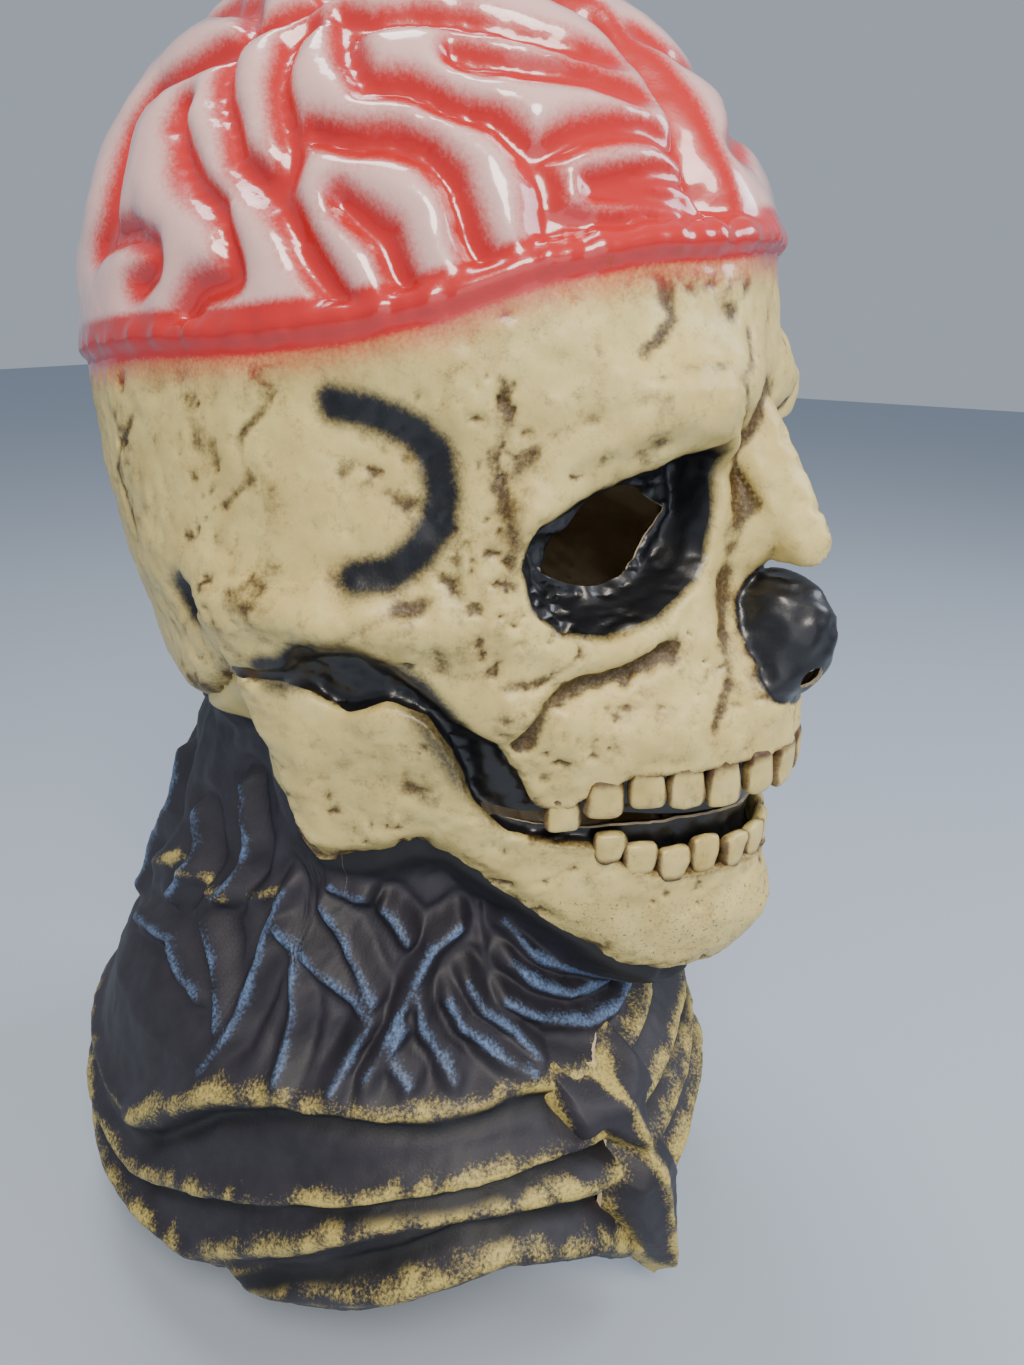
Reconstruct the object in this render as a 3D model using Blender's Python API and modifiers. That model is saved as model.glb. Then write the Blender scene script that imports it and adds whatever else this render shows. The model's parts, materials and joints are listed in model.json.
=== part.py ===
"""Full-overhead latex mask: a skull with a bare brain on top and a bib of neck skin and ribs below.

Units are metres, with +Z up, the face looking along -Y and the wearer's left along +X.
The origin is the inside of the crown, the point that rests on the wearer's head.
Sections of the head are stated in millimetres about an upright axis, at heights above the ear level.
"""
import math

import bmesh
import bpy
from mathutils import Matrix, Vector

MM = 0.001

# Driving dimensions, in millimetres unless the name says otherwise
SKIN = 2.4                      # thickness of the cast latex
GAP = 0.8                       # clearance between neighbouring skins
LIP_GAP = 2.0                   # clearance above and below the lips
BEAD_GAP = 2.0                  # clearance on both sides of the bead round the brain
EAR_LEVEL = -161.5              # height of the ear level below the inner crown
AXIS_Y = -8.0                   # where the upright axis of the sections stands
COLUMNS = 40                    # columns of a skin that goes all the way round
FRONT_SHARE = 0.65              # column spacing at the face, as a share of the mean spacing
BLUNT = 0.2                     # rounds the sections off at the chin and the nape

BRAIN_HALF_WIDTH = 88.8
BRAIN_HALF_LENGTH = 113.6
BRAIN_HALF_HEIGHT = 101.8
BRAIN_CENTRE_HEIGHT = 62.1
FISSURE_DEPTH = 7.0             # groove between the two halves of the brain
FISSURE_HALF_WIDTH = 9.0
BEAD_RADIUS = 4.0               # wrinkled bead that seals the brain's edge

# Head sections: height, half width, reach to the front, reach to the back, roundness
HEAD_SECTIONS = [
    (95, 84, 106, 108, 2.0),
    (60, 88, 111, 107, 2.1),
    (30, 90, 105, 103, 2.2),
    (0, 90, 108, 100, 2.0),
    (-36, 84, 124, 91, 1.8),
    (-56, 77, 123, 84, 1.6),
    (-82, 72, 119, 80, 1.6),
    (-107, 67, 121, 76, 1.6),
    (-125, 60, 116, 70, 1.7),
    (-142, 50, 100, 60, 1.8),
]
# Neck sections, in the same terms
NECK_SECTIONS = [
    (-25, 62, 45, 72, 2.0),
    (-52, 61, 48, 78, 2.0),
    (-75, 60, 50, 93, 2.0),
    (-110, 64, 60, 109, 2.0),
    (-150, 82, 74, 119, 2.1),
    (-172, 97, 94, 125, 2.2),
    (-200, 104, 105, 134, 2.3),
    (-235, 106, 106, 142, 2.4),
    (-262, 102, 105, 145, 2.4),
]

# Bumps on the head: angle from the nose, height, how far it stands out, spread in degrees, spread in height
BROW = (21, 52, 13, 15, 11)
CHEEK_ARCH = (72, -4, 5, 24, 9)
NOSE_BONE = (0, 14, 24, 6, 12)
MUZZLE = (0, -36, 5, 16, 16)
CHIN = (0, -112, 6, 13, 14)

# Edges of the skins, as heights at angles from the nose
BRAIN_EDGE = [(0, 90), (30, 83), (60, 66), (90, 57), (135, 50), (180, 45)]
SKULL_EDGE = [(0, -53), (38, -52), (50, -38), (66, -24), (100, -24), (116, -42), (180, -52)]
JAW_TOP = [(0, -89), (24, -88), (45, -76), (54, -66), (60, -44), (66, -33), (94, -30), (100, -40)]
JAW_BOTTOM = [(0, -141), (14, -134), (34, -109), (58, -91), (82, -90), (94, -78), (100, -52)]
COWL_TOP = [(0, -160), (30, -148), (58, -124), (83, -104), (98, -46), (108, -26), (180, -40)]
COWL_HEM = [(0, -262), (12, -254), (28, -227), (46, -217), (63, -227), (85, -243), (110, -250), (180, -252)]

JAW_END = 100                   # angle where the jaw's ramus ends behind
MOUTH_CORNER = 50               # angle of the mouth's corners
MOUTH_LINE = [(0, -72), (22, -73), (38, -71), (50, -65)]
MOUTH_GAP = [(0, 2.6), (20, 3.2), (36, 5.5), (50, 1.2)]   # half of the open height of the slit

UPPER_TEETH_A_SIDE = 7
LOWER_TEETH_A_SIDE = 6
UPPER_PITCH = 11.0
LOWER_PITCH = 10.2
TOOTH_THICKNESS = 4.4
UPPER_TOOTH_HEIGHT = 14.0
LOWER_TOOTH_HEIGHT = 11.0
UPPER_TOOTH_LEVEL = -61.0
LOWER_TOOTH_LEVEL = -84.5

EYE_ANGLE = 24.5                # angle of the middle of an eye socket
EYE_HEIGHT = 15.0
EYE_TURN = 36.0                 # how far a socket faces to the side
EYE_HALF_WIDTH = 28.0
EYE_HALF_HEIGHT = 24.0
EYE_DEPTH = 16.0
EYE_INSET = 6.0                 # the socket's rim behind the skin at its middle
EYE_HOLE_HALF_WIDTH = 16.0
EYE_HOLE_HALF_HEIGHT = 8.5
EYE_HOLE_TILT = 20.0

NOSE_HEIGHT = -18.0
NOSE_HALF_WIDTH = 13.0
NOSE_HALF_HEIGHT = 18.0
NOSE_REACH = 22.0
NOSE_BACK = -122.0
NOSTRIL_RADIUS = 3.6
NOSTRIL_OFFSET = 6.0

RIB_RELIEF = 2.6
BREASTBONE_TOP = -196.0
BREASTBONE_THICKNESS = 7.0
THROAT_END = 80                 # angle where the stretching skin under the jaw ends
THROAT_GAP = 2.0                # clearance between that skin and the bib
WEB_RECESS = 8.0                # the cheek webs lie this far under the bone

BONE = (0.68, 0.60, 0.32)
BLACK = (0.022, 0.02, 0.026)
BRAIN_RED = (0.72, 0.09, 0.07)
BRAIN_PINK = (0.86, 0.50, 0.45)
TOOTH = (0.72, 0.63, 0.38)
NECK_SKIN = (0.035, 0.032, 0.045)


def read_line(points, where):
    """Height of an edge at an angle: eased between its stated points, and the same on both sides."""
    where = abs(where)
    for (start, low), (end, high) in zip(points, points[1:]):
        if where <= end:
            share = (where - start) / (end - start)
            ease = share * share * (3 - 2 * share)
            return low + (high - low) * ease
    return points[-1][1]


def read_section(sections, height):
    """Size of a section at any height, eased between the stated ones."""
    if height >= sections[0][0]:
        return sections[0][1:]
    for upper, lower in zip(sections, sections[1:]):
        if height >= lower[0]:
            share = (upper[0] - height) / (upper[0] - lower[0])
            return [a + (b - a) * share for a, b in zip(upper[1:], lower[1:])]
    return sections[-1][1:]


def blunt_power(value, power):
    """A power of a share that stays rounded where the share crosses nought."""
    return (value * value + BLUNT * BLUNT) ** (power / 2) - BLUNT ** power


def reach(sections, angle, height):
    """Distance from the upright axis to the skin."""
    half_width, front, back, roundness = read_section(sections, height)
    turn = math.radians(angle)
    length = front if abs(angle) < 90 else back
    across = blunt_power(math.sin(turn), roundness) / half_width ** roundness
    along = blunt_power(math.cos(turn), roundness) / length ** roundness
    return (across + along) ** (-1 / roundness)


def bump(shape, angle, height):
    """One smooth swelling of the head, the same on both sides."""
    middle, level, rise, angle_spread, height_spread = shape
    far = ((abs(angle) - middle) / angle_spread) ** 2 + ((height - level) / height_spread) ** 2
    return rise * math.exp(-far)


def head_reach(angle, height):
    swellings = sum(bump(shape, angle, height) for shape in (BROW, CHEEK_ARCH, NOSE_BONE, MUZZLE, CHIN))
    return reach(HEAD_SECTIONS, angle, height) + swellings


def brain_reach(angle, height):
    """Distance from the axis to the brain, which is part of an ellipsoid."""
    turn = math.radians(angle)
    shrink = math.sqrt(1 - ((height - BRAIN_CENTRE_HEIGHT) / BRAIN_HALF_HEIGHT) ** 2)
    return shrink / math.hypot(math.sin(turn) / BRAIN_HALF_WIDTH, math.cos(turn) / BRAIN_HALF_LENGTH)


def place(angle, height, distance):
    """World point of a distance from the axis, an angle from the nose and a height above the ears."""
    turn = math.radians(angle)
    x = distance * math.sin(turn)
    y = AXIS_Y - distance * math.cos(turn)
    return Vector((x, y, height + EAR_LEVEL)) * MM


def head_point(angle, height, proud=0.0):
    return place(angle, height, head_reach(angle, height) + proud)


def neck_point(angle, height, proud=0.0):
    return place(angle, height, reach(NECK_SECTIONS, angle, height) + proud)


def column_angles(count, limit=180.0):
    """Angles of the columns, closer together at the face than behind."""
    angles = []
    for step in range(count + 1):
        side = 2 * step / count - 1
        angles.append(limit * (FRONT_SHARE * side + (1 - FRONT_SHARE) * side ** 3))
    return angles


def make_collection(name):
    collection = bpy.data.collections.new(name)
    bpy.context.scene.collection.children.link(collection)
    return collection


def make_material(name, colour, roughness, coat=0.0):
    material = bpy.data.materials.new(name)
    material.use_nodes = True
    shader = material.node_tree.nodes["Principled BSDF"]
    shader.inputs["Base Color"].default_value = (*colour, 1.0)
    shader.inputs["Roughness"].default_value = roughness
    shader.inputs["Metallic"].default_value = 0.0
    shader.inputs["Coat Weight"].default_value = coat
    return material


def move_to(obj, collection):
    for home in list(obj.users_collection):
        home.objects.unlink(obj)
    collection.objects.link(obj)


def add_piece(name, mesh, material, parts):
    piece = bpy.data.objects.new(name, mesh)
    mesh.materials.append(material)
    mesh.shade_smooth()
    parts.objects.link(piece)
    return piece


def add_solidify(piece, thickness=SKIN):
    """Give a skin its thickness, inwards from its outer face."""
    shell = piece.modifiers.new("latex thickness", "SOLIDIFY")
    shell.thickness = thickness * MM
    shell.offset = -1.0
    shell.use_even_offset = False
    return shell


def loft(name, angles, rows, point, material, parts, closed=False):
    """A skin through a grid of points; each column runs from its top edge to its bottom edge."""
    form = bmesh.new()
    used = angles[:-1] if closed else angles
    grid = [[form.verts.new(point(angle, row / rows)) for row in range(rows + 1)] for angle in used]
    if closed:
        grid.append(grid[0])
    for left, right in zip(grid, grid[1:]):
        for row in range(rows):
            form.faces.new((left[row], left[row + 1], right[row + 1], right[row]))
    mesh = bpy.data.meshes.new(name)
    form.to_mesh(mesh)
    form.free()
    piece = add_piece(name, mesh, material, parts)
    add_solidify(piece)
    return piece


def between(top, bottom, surface, top_gap=0.0, bottom_gap=0.0, proud=0.0):
    """Point function of a skin that fills the space between two edges."""
    def point(angle, share):
        high = read_line(top, angle) - top_gap
        low = read_line(bottom, angle) + bottom_gap
        return surface(angle, high + (low - high) * share, proud)
    return point


def cut(piece, cutter):
    hole = piece.modifiers.new("cut " + cutter.name, "BOOLEAN")
    hole.operation = "DIFFERENCE"
    hole.solver = "EXACT"
    hole.object = cutter


def make_cutter(obj, name, cutters):
    obj.name = name
    obj.hide_render = True
    obj.display_type = "WIRE"
    move_to(obj, cutters)
    return obj


def apply_scale(obj):
    obj.data.transform(Matrix.Diagonal((*obj.scale, 1.0)))
    obj.scale = (1, 1, 1)


def make_brain(material, parts):
    """The brain's dome: half a sphere whose lower edge follows the line round the skull."""
    bpy.ops.mesh.primitive_uv_sphere_add(segments=32, ring_count=20, radius=1.0)
    brain = bpy.context.object
    brain.name = "brain_cap"
    form = bmesh.new()
    form.from_mesh(brain.data)
    below = [vertex for vertex in form.verts if vertex.co.z < -0.001]
    bmesh.ops.delete(form, geom=below, context="VERTS")
    for vertex in form.verts:
        vertex.co = brain_point(vertex.co)
    form.to_mesh(brain.data)
    form.free()
    brain.data.materials.append(material)
    brain.data.shade_smooth()
    move_to(brain, parts)
    add_solidify(brain)
    return brain


def brain_point(unit):
    """Move a point of the unit dome on to the brain: its equator goes to the brain's edge."""
    turn = math.atan2(unit.x, -unit.y)
    angle = math.degrees(math.atan2(BRAIN_HALF_WIDTH * unit.x, -BRAIN_HALF_LENGTH * unit.y))
    edge = read_line(BRAIN_EDGE, angle) + BEAD_RADIUS + BEAD_GAP
    low = math.asin((edge - BRAIN_CENTRE_HEIGHT) / BRAIN_HALF_HEIGHT)
    climb = math.asin(max(-1.0, min(1.0, unit.z))) / (math.pi / 2)
    lift = low + (math.pi / 2 - low) * climb
    x = BRAIN_HALF_WIDTH * math.cos(lift) * math.sin(turn)
    y = AXIS_Y - BRAIN_HALF_LENGTH * math.cos(lift) * math.cos(turn)
    z = BRAIN_CENTRE_HEIGHT + BRAIN_HALF_HEIGHT * math.sin(lift)
    above_edge = min(1.0, climb * 4)
    groove = above_edge * FISSURE_DEPTH * math.exp(-(x / FISSURE_HALF_WIDTH) ** 2)
    outward = Vector((x / BRAIN_HALF_WIDTH ** 2, (y - AXIS_Y) / BRAIN_HALF_LENGTH ** 2,
                      (z - BRAIN_CENTRE_HEIGHT) / BRAIN_HALF_HEIGHT ** 2)).normalized()
    return (Vector((x, y, z + EAR_LEVEL)) - outward * groove) * MM


def make_bead(material, parts):
    """The bead along the brain's edge: a closed tube between the dome and the skull."""
    curve = bpy.data.curves.new("brain_seam", "CURVE")
    curve.dimensions = "3D"
    curve.bevel_depth = BEAD_RADIUS * MM
    curve.bevel_resolution = 2
    spline = curve.splines.new("POLY")
    angles = column_angles(COLUMNS)[:-1]
    spline.points.add(len(angles) - 1)
    for knot, angle in zip(spline.points, angles):
        height = read_line(BRAIN_EDGE, angle)
        knot.co = (*place(angle, height, brain_reach(angle, height) - SKIN / 2), 1.0)
    spline.use_cyclic_u = True
    bead = bpy.data.objects.new("brain_seam", curve)
    curve.materials.append(material)
    parts.objects.link(bead)
    return bead


def make_skull(material, parts):
    """The bone: from under the brain's bead down to the gums, the cheek arches and the nape."""
    edge_gap = BEAD_RADIUS + BEAD_GAP
    return loft("skull_shell", column_angles(COLUMNS), 15,
                between(BRAIN_EDGE, SKULL_EDGE, head_point, top_gap=edge_gap), material, parts, closed=True)


def make_jaw(material, parts):
    """The lower jaw: chin, body and the two rami, as one bow that is open behind."""
    return loft("lower_jaw", column_angles(28, JAW_END), 7,
                between(JAW_TOP, JAW_BOTTOM, head_point, top_gap=GAP), material, parts)


def make_lips(material, parts):
    """The dark skin behind the teeth, above and below the mouth's slit."""
    angles = column_angles(20, MOUTH_CORNER)

    def upper(angle, share):
        high = read_line(SKULL_EDGE, angle) - LIP_GAP
        low = read_line(MOUTH_LINE, angle) + read_line(MOUTH_GAP, angle)
        return head_point(angle, high + (low - high) * share)

    def lower(angle, share):
        high = read_line(MOUTH_LINE, angle) - read_line(MOUTH_GAP, angle)
        low = read_line(JAW_TOP, angle) + LIP_GAP
        return head_point(angle, high + (low - high) * share)

    loft("upper_lip", angles, 3, upper, material, parts)
    loft("lower_lip", angles, 3, lower, material, parts)


def make_cheek_webs(material, parts):
    """Black recessed skin under each cheek arch, down in front of the ramus to the mouth's corner."""
    top = [(44, -44), (58, -22), (70, -12), (102, -12)]
    bottom = [(44, -60), (54, -74), (62, -74), (72, -50), (102, -44)]
    point = between(top, bottom, head_point, proud=-WEB_RECESS)
    for side, sign in (("right", -1), ("left", 1)):
        start, end = MOUTH_CORNER + 1.5, JAW_END
        angles = sorted(sign * (start + (end - start) * step / 8) for step in range(9))
        loft("cheek_web_" + side, angles, 6, point, material, parts)


def arch_angle(distance, height):
    """Angle where the row of teeth has run a given distance round from the middle."""
    angle = 0.0
    walked = 0.0
    last = head_point(0.0, height)
    while walked < distance * MM:
        angle += 0.1
        here = head_point(angle, height)
        walked += (here - last).length
        last = here
    return angle


def make_tooth(name, side, number, pitch, level, height, material, parts):
    """One tooth: a block with rounded edges, just outside the lip and square to it."""
    angle = side * arch_angle((number - 0.5) * pitch, level)
    step = 0.5
    along = head_point(angle + step, level) - head_point(angle - step, level)
    yaw = math.atan2(along.y, along.x)
    outward = Vector((math.sin(yaw), -math.cos(yaw), 0))
    bpy.ops.mesh.primitive_cube_add(size=1.0)
    tooth = bpy.context.object
    tooth.name = name
    tooth.scale = ((pitch - GAP) * MM, TOOTH_THICKNESS * MM, height * MM)
    apply_scale(tooth)
    stand_off = TOOTH_THICKNESS / 2 + 1.6
    tooth.location = head_point(angle, level) + outward * stand_off * MM
    tooth.rotation_euler.z = yaw
    edges = tooth.modifiers.new("rounded edges", "BEVEL")
    edges.width = 1.4 * MM
    edges.segments = 1
    tooth.data.materials.append(material)
    tooth.data.shade_smooth()
    move_to(tooth, parts)


def make_teeth(material, parts):
    rows = (("upper_tooth", UPPER_TEETH_A_SIDE, UPPER_PITCH, UPPER_TOOTH_LEVEL, UPPER_TOOTH_HEIGHT),
            ("lower_tooth", LOWER_TEETH_A_SIDE, LOWER_PITCH, LOWER_TOOTH_LEVEL, LOWER_TOOTH_HEIGHT))
    for row, count, pitch, level, height in rows:
        for side_name, side in (("right", -1), ("left", 1)):
            for number in range(1, count + 1):
                name = f"{row}_{side_name}_{number}"
                make_tooth(name, side, number, pitch, level, height, material, parts)


def dome(name, half_width, depth, half_height, segments, rings):
    """Half an ellipsoid, open at its flat side, bulging along its own -Y."""
    bpy.ops.mesh.primitive_uv_sphere_add(segments=segments, ring_count=rings, radius=1.0)
    obj = bpy.context.object
    obj.name = name
    form = bmesh.new()
    form.from_mesh(obj.data)
    behind = [vertex for vertex in form.verts if vertex.co.y > 0.001]
    bmesh.ops.delete(form, geom=behind, context="VERTS")
    form.to_mesh(obj.data)
    form.free()
    obj.scale = (half_width * MM, depth * MM, half_height * MM)
    apply_scale(obj)
    return obj


def cylinder(name, half_width, half_height, length, cutters):
    """A cutter with an oval section, along its own Y."""
    bpy.ops.mesh.primitive_cylinder_add(vertices=28, radius=1.0, depth=1.0)
    obj = bpy.context.object
    obj.data.transform(Matrix.Rotation(math.radians(90), 4, "X"))
    obj.scale = (half_width * MM, length * MM, half_height * MM)
    apply_scale(obj)
    return make_cutter(obj, name, cutters)


def make_eye_sockets(skull, material, parts, cutters):
    """A black bowl in each orbit, with the hole that the wearer looks through."""
    for side_name, side in (("right", -1), ("left", 1)):
        turn = math.radians(side * EYE_TURN)
        outward = Vector((math.sin(turn), -math.cos(turn), 0))
        middle = head_point(side * EYE_ANGLE, EYE_HEIGHT)
        socket = dome("eye_socket_" + side_name, EYE_HALF_WIDTH, EYE_DEPTH, EYE_HALF_HEIGHT, 20, 12)
        socket.data.transform(Matrix.Rotation(math.pi, 4, "Z"))
        socket.data.flip_normals()
        socket.location = middle - outward * EYE_INSET * MM
        socket.rotation_euler.z = turn
        socket.data.materials.append(material)
        socket.data.shade_smooth()
        move_to(socket, parts)
        bowl = add_solidify(socket)
        bowl.offset = 1.0
        opening = cylinder("orbit_" + side_name, EYE_HALF_WIDTH + GAP + SKIN, EYE_HALF_HEIGHT + GAP + SKIN,
                           90, cutters)
        opening.location = middle
        opening.rotation_euler.z = turn
        cut(skull, opening)
        hole = cylinder("eye_hole_" + side_name, EYE_HOLE_HALF_WIDTH, EYE_HOLE_HALF_HEIGHT, 90, cutters)
        hole.location = middle
        hole.rotation_euler = (0, side * math.radians(-EYE_HOLE_TILT), turn)
        cut(socket, hole)


def make_nose(skull, material, parts, cutters):
    """The dark nose: a bulging dome in the nasal opening, with two nostrils."""
    middle = Vector((0, NOSE_BACK, NOSE_HEIGHT + EAR_LEVEL)) * MM
    nose = dome("nose_cavity", NOSE_HALF_WIDTH, NOSE_REACH, NOSE_HALF_HEIGHT, 20, 12)
    nose.location = middle
    nose.data.materials.append(material)
    nose.data.shade_smooth()
    move_to(nose, parts)
    add_solidify(nose)
    opening = cylinder("nasal_opening", NOSE_HALF_WIDTH + GAP, NOSE_HALF_HEIGHT + GAP, 90, cutters)
    opening.location = middle
    cut(skull, opening)
    for side_name, side in (("right", -1), ("left", 1)):
        nostril = cylinder("nostril_" + side_name, NOSTRIL_RADIUS, NOSTRIL_RADIUS, 60, cutters)
        nostril.location = middle + Vector((side * NOSTRIL_OFFSET, 0, -NOSE_HALF_HEIGHT / 2)) * MM
        cut(nose, nostril)


def rib_relief(angle, height):
    """Ribs of the bib: three rolls that slope down to the breastbone, and the rolled hem."""
    slope = 14 * math.cos(math.radians(angle)) ** 2
    phase = (height + slope + 196) / 21.0
    below_neck = 1 / (1 + math.exp((height + 186) / 5))
    beside_breastbone = 1 - math.exp(-(angle / 12) ** 2)
    return RIB_RELIEF * below_neck * beside_breastbone * math.cos(2 * math.pi * phase)


def make_cowl(material, parts):
    """The bib: neck skin that widens over the shoulders, with ribs, down to an uneven hem."""
    def point(angle, share):
        high = read_line(COWL_TOP, angle)
        low = read_line(COWL_HEM, angle)
        height = high + (low - high) * share
        return neck_point(angle, height, rib_relief(angle, height))

    return loft("neck_cowl", column_angles(36), 17, point, material, parts, closed=True)


def make_throat(material, parts):
    """Soft neck skin that stretches between the jaw's lower edge and the bib."""
    def point(angle, share):
        start = head_point(angle, read_line(JAW_BOTTOM, angle) + 2, -SKIN - 2.5)
        end = neck_point(angle, read_line(COWL_TOP, angle) + THROAT_GAP)
        return start + (end - start) * share

    return loft("throat_skin", column_angles(22, THROAT_END), 3, point, material, parts)


def make_breastbone(material, parts):
    """The breastbone: a pointed blade under a notched head, standing on the front of the ribs."""
    outline = [(0, 0), (13, 8), (18, -2), (14, -17), (6, -14), (9, -30), (13, -48), (9, -66), (0, -90)]
    half = [Vector((x, 0, z)) for x, z in outline]
    mirrored = [Vector((-point.x, 0, point.z)) for point in reversed(half[1:-1])]
    curve = bpy.data.curves.new("breastbone_outline", "CURVE")
    curve.dimensions = "2D"
    curve.fill_mode = "BOTH"
    curve.extrude = BREASTBONE_THICKNESS / 2 * MM
    spline = curve.splines.new("POLY")
    ring = half + mirrored
    spline.points.add(len(ring) - 1)
    for knot, corner in zip(spline.points, ring):
        knot.co = (corner.x * MM, corner.z * MM, 0, 1)
    spline.use_cyclic_u = True
    flat = bpy.data.objects.new("breastbone_outline", curve)
    parts.objects.link(flat)
    graph = bpy.context.evaluated_depsgraph_get()
    mesh = bpy.data.meshes.new_from_object(flat.evaluated_get(graph))
    bpy.data.objects.remove(flat)
    form = bmesh.new()
    form.from_mesh(mesh)
    bmesh.ops.remove_doubles(form, verts=form.verts, dist=0.00005)
    form.to_mesh(mesh)
    form.free()
    front = neck_point(0, -235).y - (BREASTBONE_THICKNESS / 2 + GAP) * MM
    mesh.transform(Matrix.Rotation(math.radians(90), 4, "X"))
    bone = add_piece("breastbone", mesh, material, parts)
    bone.location = (0, front, (BREASTBONE_TOP + EAR_LEVEL) * MM)
    edges = bone.modifiers.new("bevelled edges", "BEVEL")
    edges.width = 1.5 * MM
    edges.segments = 1


def main():
    for obj in list(bpy.data.objects):
        bpy.data.objects.remove(obj)
    parts = make_collection("latex_skull_mask")
    cutters = make_collection("cutters")
    bone = make_material("bone latex", BONE, 0.5)
    black = make_material("black painted latex", BLACK, 0.35)
    wet_red = make_material("clear coated red latex", BRAIN_RED, 0.2, 1.0)
    wet_pink = make_material("clear coated pink latex", BRAIN_PINK, 0.2, 1.0)
    enamel = make_material("tooth latex", TOOTH, 0.45)
    neck = make_material("dark neck latex", NECK_SKIN, 0.65)

    make_brain(wet_pink, parts)
    make_bead(wet_red, parts)
    skull = make_skull(bone, parts)
    make_eye_sockets(skull, black, parts, cutters)
    make_nose(skull, black, parts, cutters)
    make_jaw(bone, parts)
    make_lips(black, parts)
    make_cheek_webs(black, parts)
    make_teeth(enamel, parts)
    make_throat(neck, parts)
    make_cowl(neck, parts)
    make_breastbone(neck, parts)


main()
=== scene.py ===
"""A latex skull mask with a bare brain and a black rib bib: its looks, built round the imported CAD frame.

Lengths are in millimetres from ear level: x to the wearer's left, y to the back, z up.
An angle is measured round the upright axis from the nose, positive on the wearer's right.
"""

import itertools
import json
import math

import bpy
import numpy as np
import openvdb
from mathutils import Matrix, Vector


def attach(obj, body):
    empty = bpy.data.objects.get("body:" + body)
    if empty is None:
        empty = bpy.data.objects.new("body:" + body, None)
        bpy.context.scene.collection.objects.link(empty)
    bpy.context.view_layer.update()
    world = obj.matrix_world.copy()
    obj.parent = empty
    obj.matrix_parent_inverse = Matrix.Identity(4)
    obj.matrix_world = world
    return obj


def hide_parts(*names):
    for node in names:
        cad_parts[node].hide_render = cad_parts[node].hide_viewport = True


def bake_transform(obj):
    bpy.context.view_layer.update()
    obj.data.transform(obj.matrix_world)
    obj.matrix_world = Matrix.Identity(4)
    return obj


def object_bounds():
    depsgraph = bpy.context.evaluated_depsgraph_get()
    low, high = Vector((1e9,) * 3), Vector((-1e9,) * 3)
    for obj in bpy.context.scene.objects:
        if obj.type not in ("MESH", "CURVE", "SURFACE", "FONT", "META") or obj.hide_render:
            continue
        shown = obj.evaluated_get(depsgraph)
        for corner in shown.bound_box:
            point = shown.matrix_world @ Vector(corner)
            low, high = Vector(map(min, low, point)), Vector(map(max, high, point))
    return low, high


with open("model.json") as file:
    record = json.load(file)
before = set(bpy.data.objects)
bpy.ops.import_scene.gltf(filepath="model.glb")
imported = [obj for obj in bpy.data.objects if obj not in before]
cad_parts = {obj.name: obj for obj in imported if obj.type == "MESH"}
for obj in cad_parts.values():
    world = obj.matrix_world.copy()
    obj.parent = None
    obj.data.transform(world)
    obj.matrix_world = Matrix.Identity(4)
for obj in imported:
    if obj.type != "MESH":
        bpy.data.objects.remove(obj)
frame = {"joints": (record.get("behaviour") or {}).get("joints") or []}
cad_low, cad_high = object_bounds()

MM = 0.001
HINGE = frame["joints"][0]["pos_m"]
EAR_LEVEL = HINGE[2] + 6 * MM
AXIS_Y = -8.0
SKIN = 2.2                        # thickness of the latex
VOXEL = 1.45
ANGLE_STEP = 0.5
ANGLES = np.arange(-180, 180 + ANGLE_STEP, ANGLE_STEP)
LEVEL_LOW = -300.0
LEVELS = np.arange(LEVEL_LOW, 171.0, 1.0)
BLUNT = 0.2

# The brain is part of this ellipsoid.
BRAIN_HALF = (88.8, 113.6, 101.8)
BRAIN_LEVEL = 62.1
RISE_LOW = -40.0
RISE_STEP = 0.5
RISES = np.arange(RISE_LOW, 90 + RISE_STEP, RISE_STEP)

# Sections of head and neck: height, half width, front, back, roundness.
HEAD = [(95, 84, 106, 108, 2.0), (60, 88, 111, 107, 2.1), (30, 90, 105, 103, 2.2), (0, 90, 108, 100, 2.0),
        (-36, 84, 124, 91, 1.8), (-56, 77, 123, 84, 1.6), (-82, 72, 119, 80, 1.6), (-107, 67, 121, 76, 1.6),
        (-125, 60, 116, 70, 1.7), (-142, 50, 100, 60, 1.8)]
NECK = [(-25, 62, 45, 72, 2.0), (-52, 61, 48, 78, 2.0), (-75, 60, 50, 93, 2.0), (-110, 64, 60, 109, 2.0),
        (-150, 82, 74, 123, 2.1), (-172, 97, 94, 132, 2.2), (-200, 104, 105, 141, 2.3),
        (-235, 106, 106, 144, 2.4), (-262, 102, 105, 145, 2.4)]

# Swellings and hollows of the head: angle, height, rise, spread of angle, spread of height.
BUMPS = [(21, 52, 11, 15, 11), (72, -5, 8, 24, 8), (0, 16, 20, 6, 13), (0, -36, 5, 16, 16), (0, -112, 6, 13, 14),
         (66, 34, -4, 12, 16), (45, -28, 6, 7, 9), (20, -36, 2, 7, 7), (97, -8, 3, 7, 12), (60, -78, -2, 8, 8),
         (107, -6, -6, 4, 5), (31, -26, -4, 7, 8)]

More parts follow.
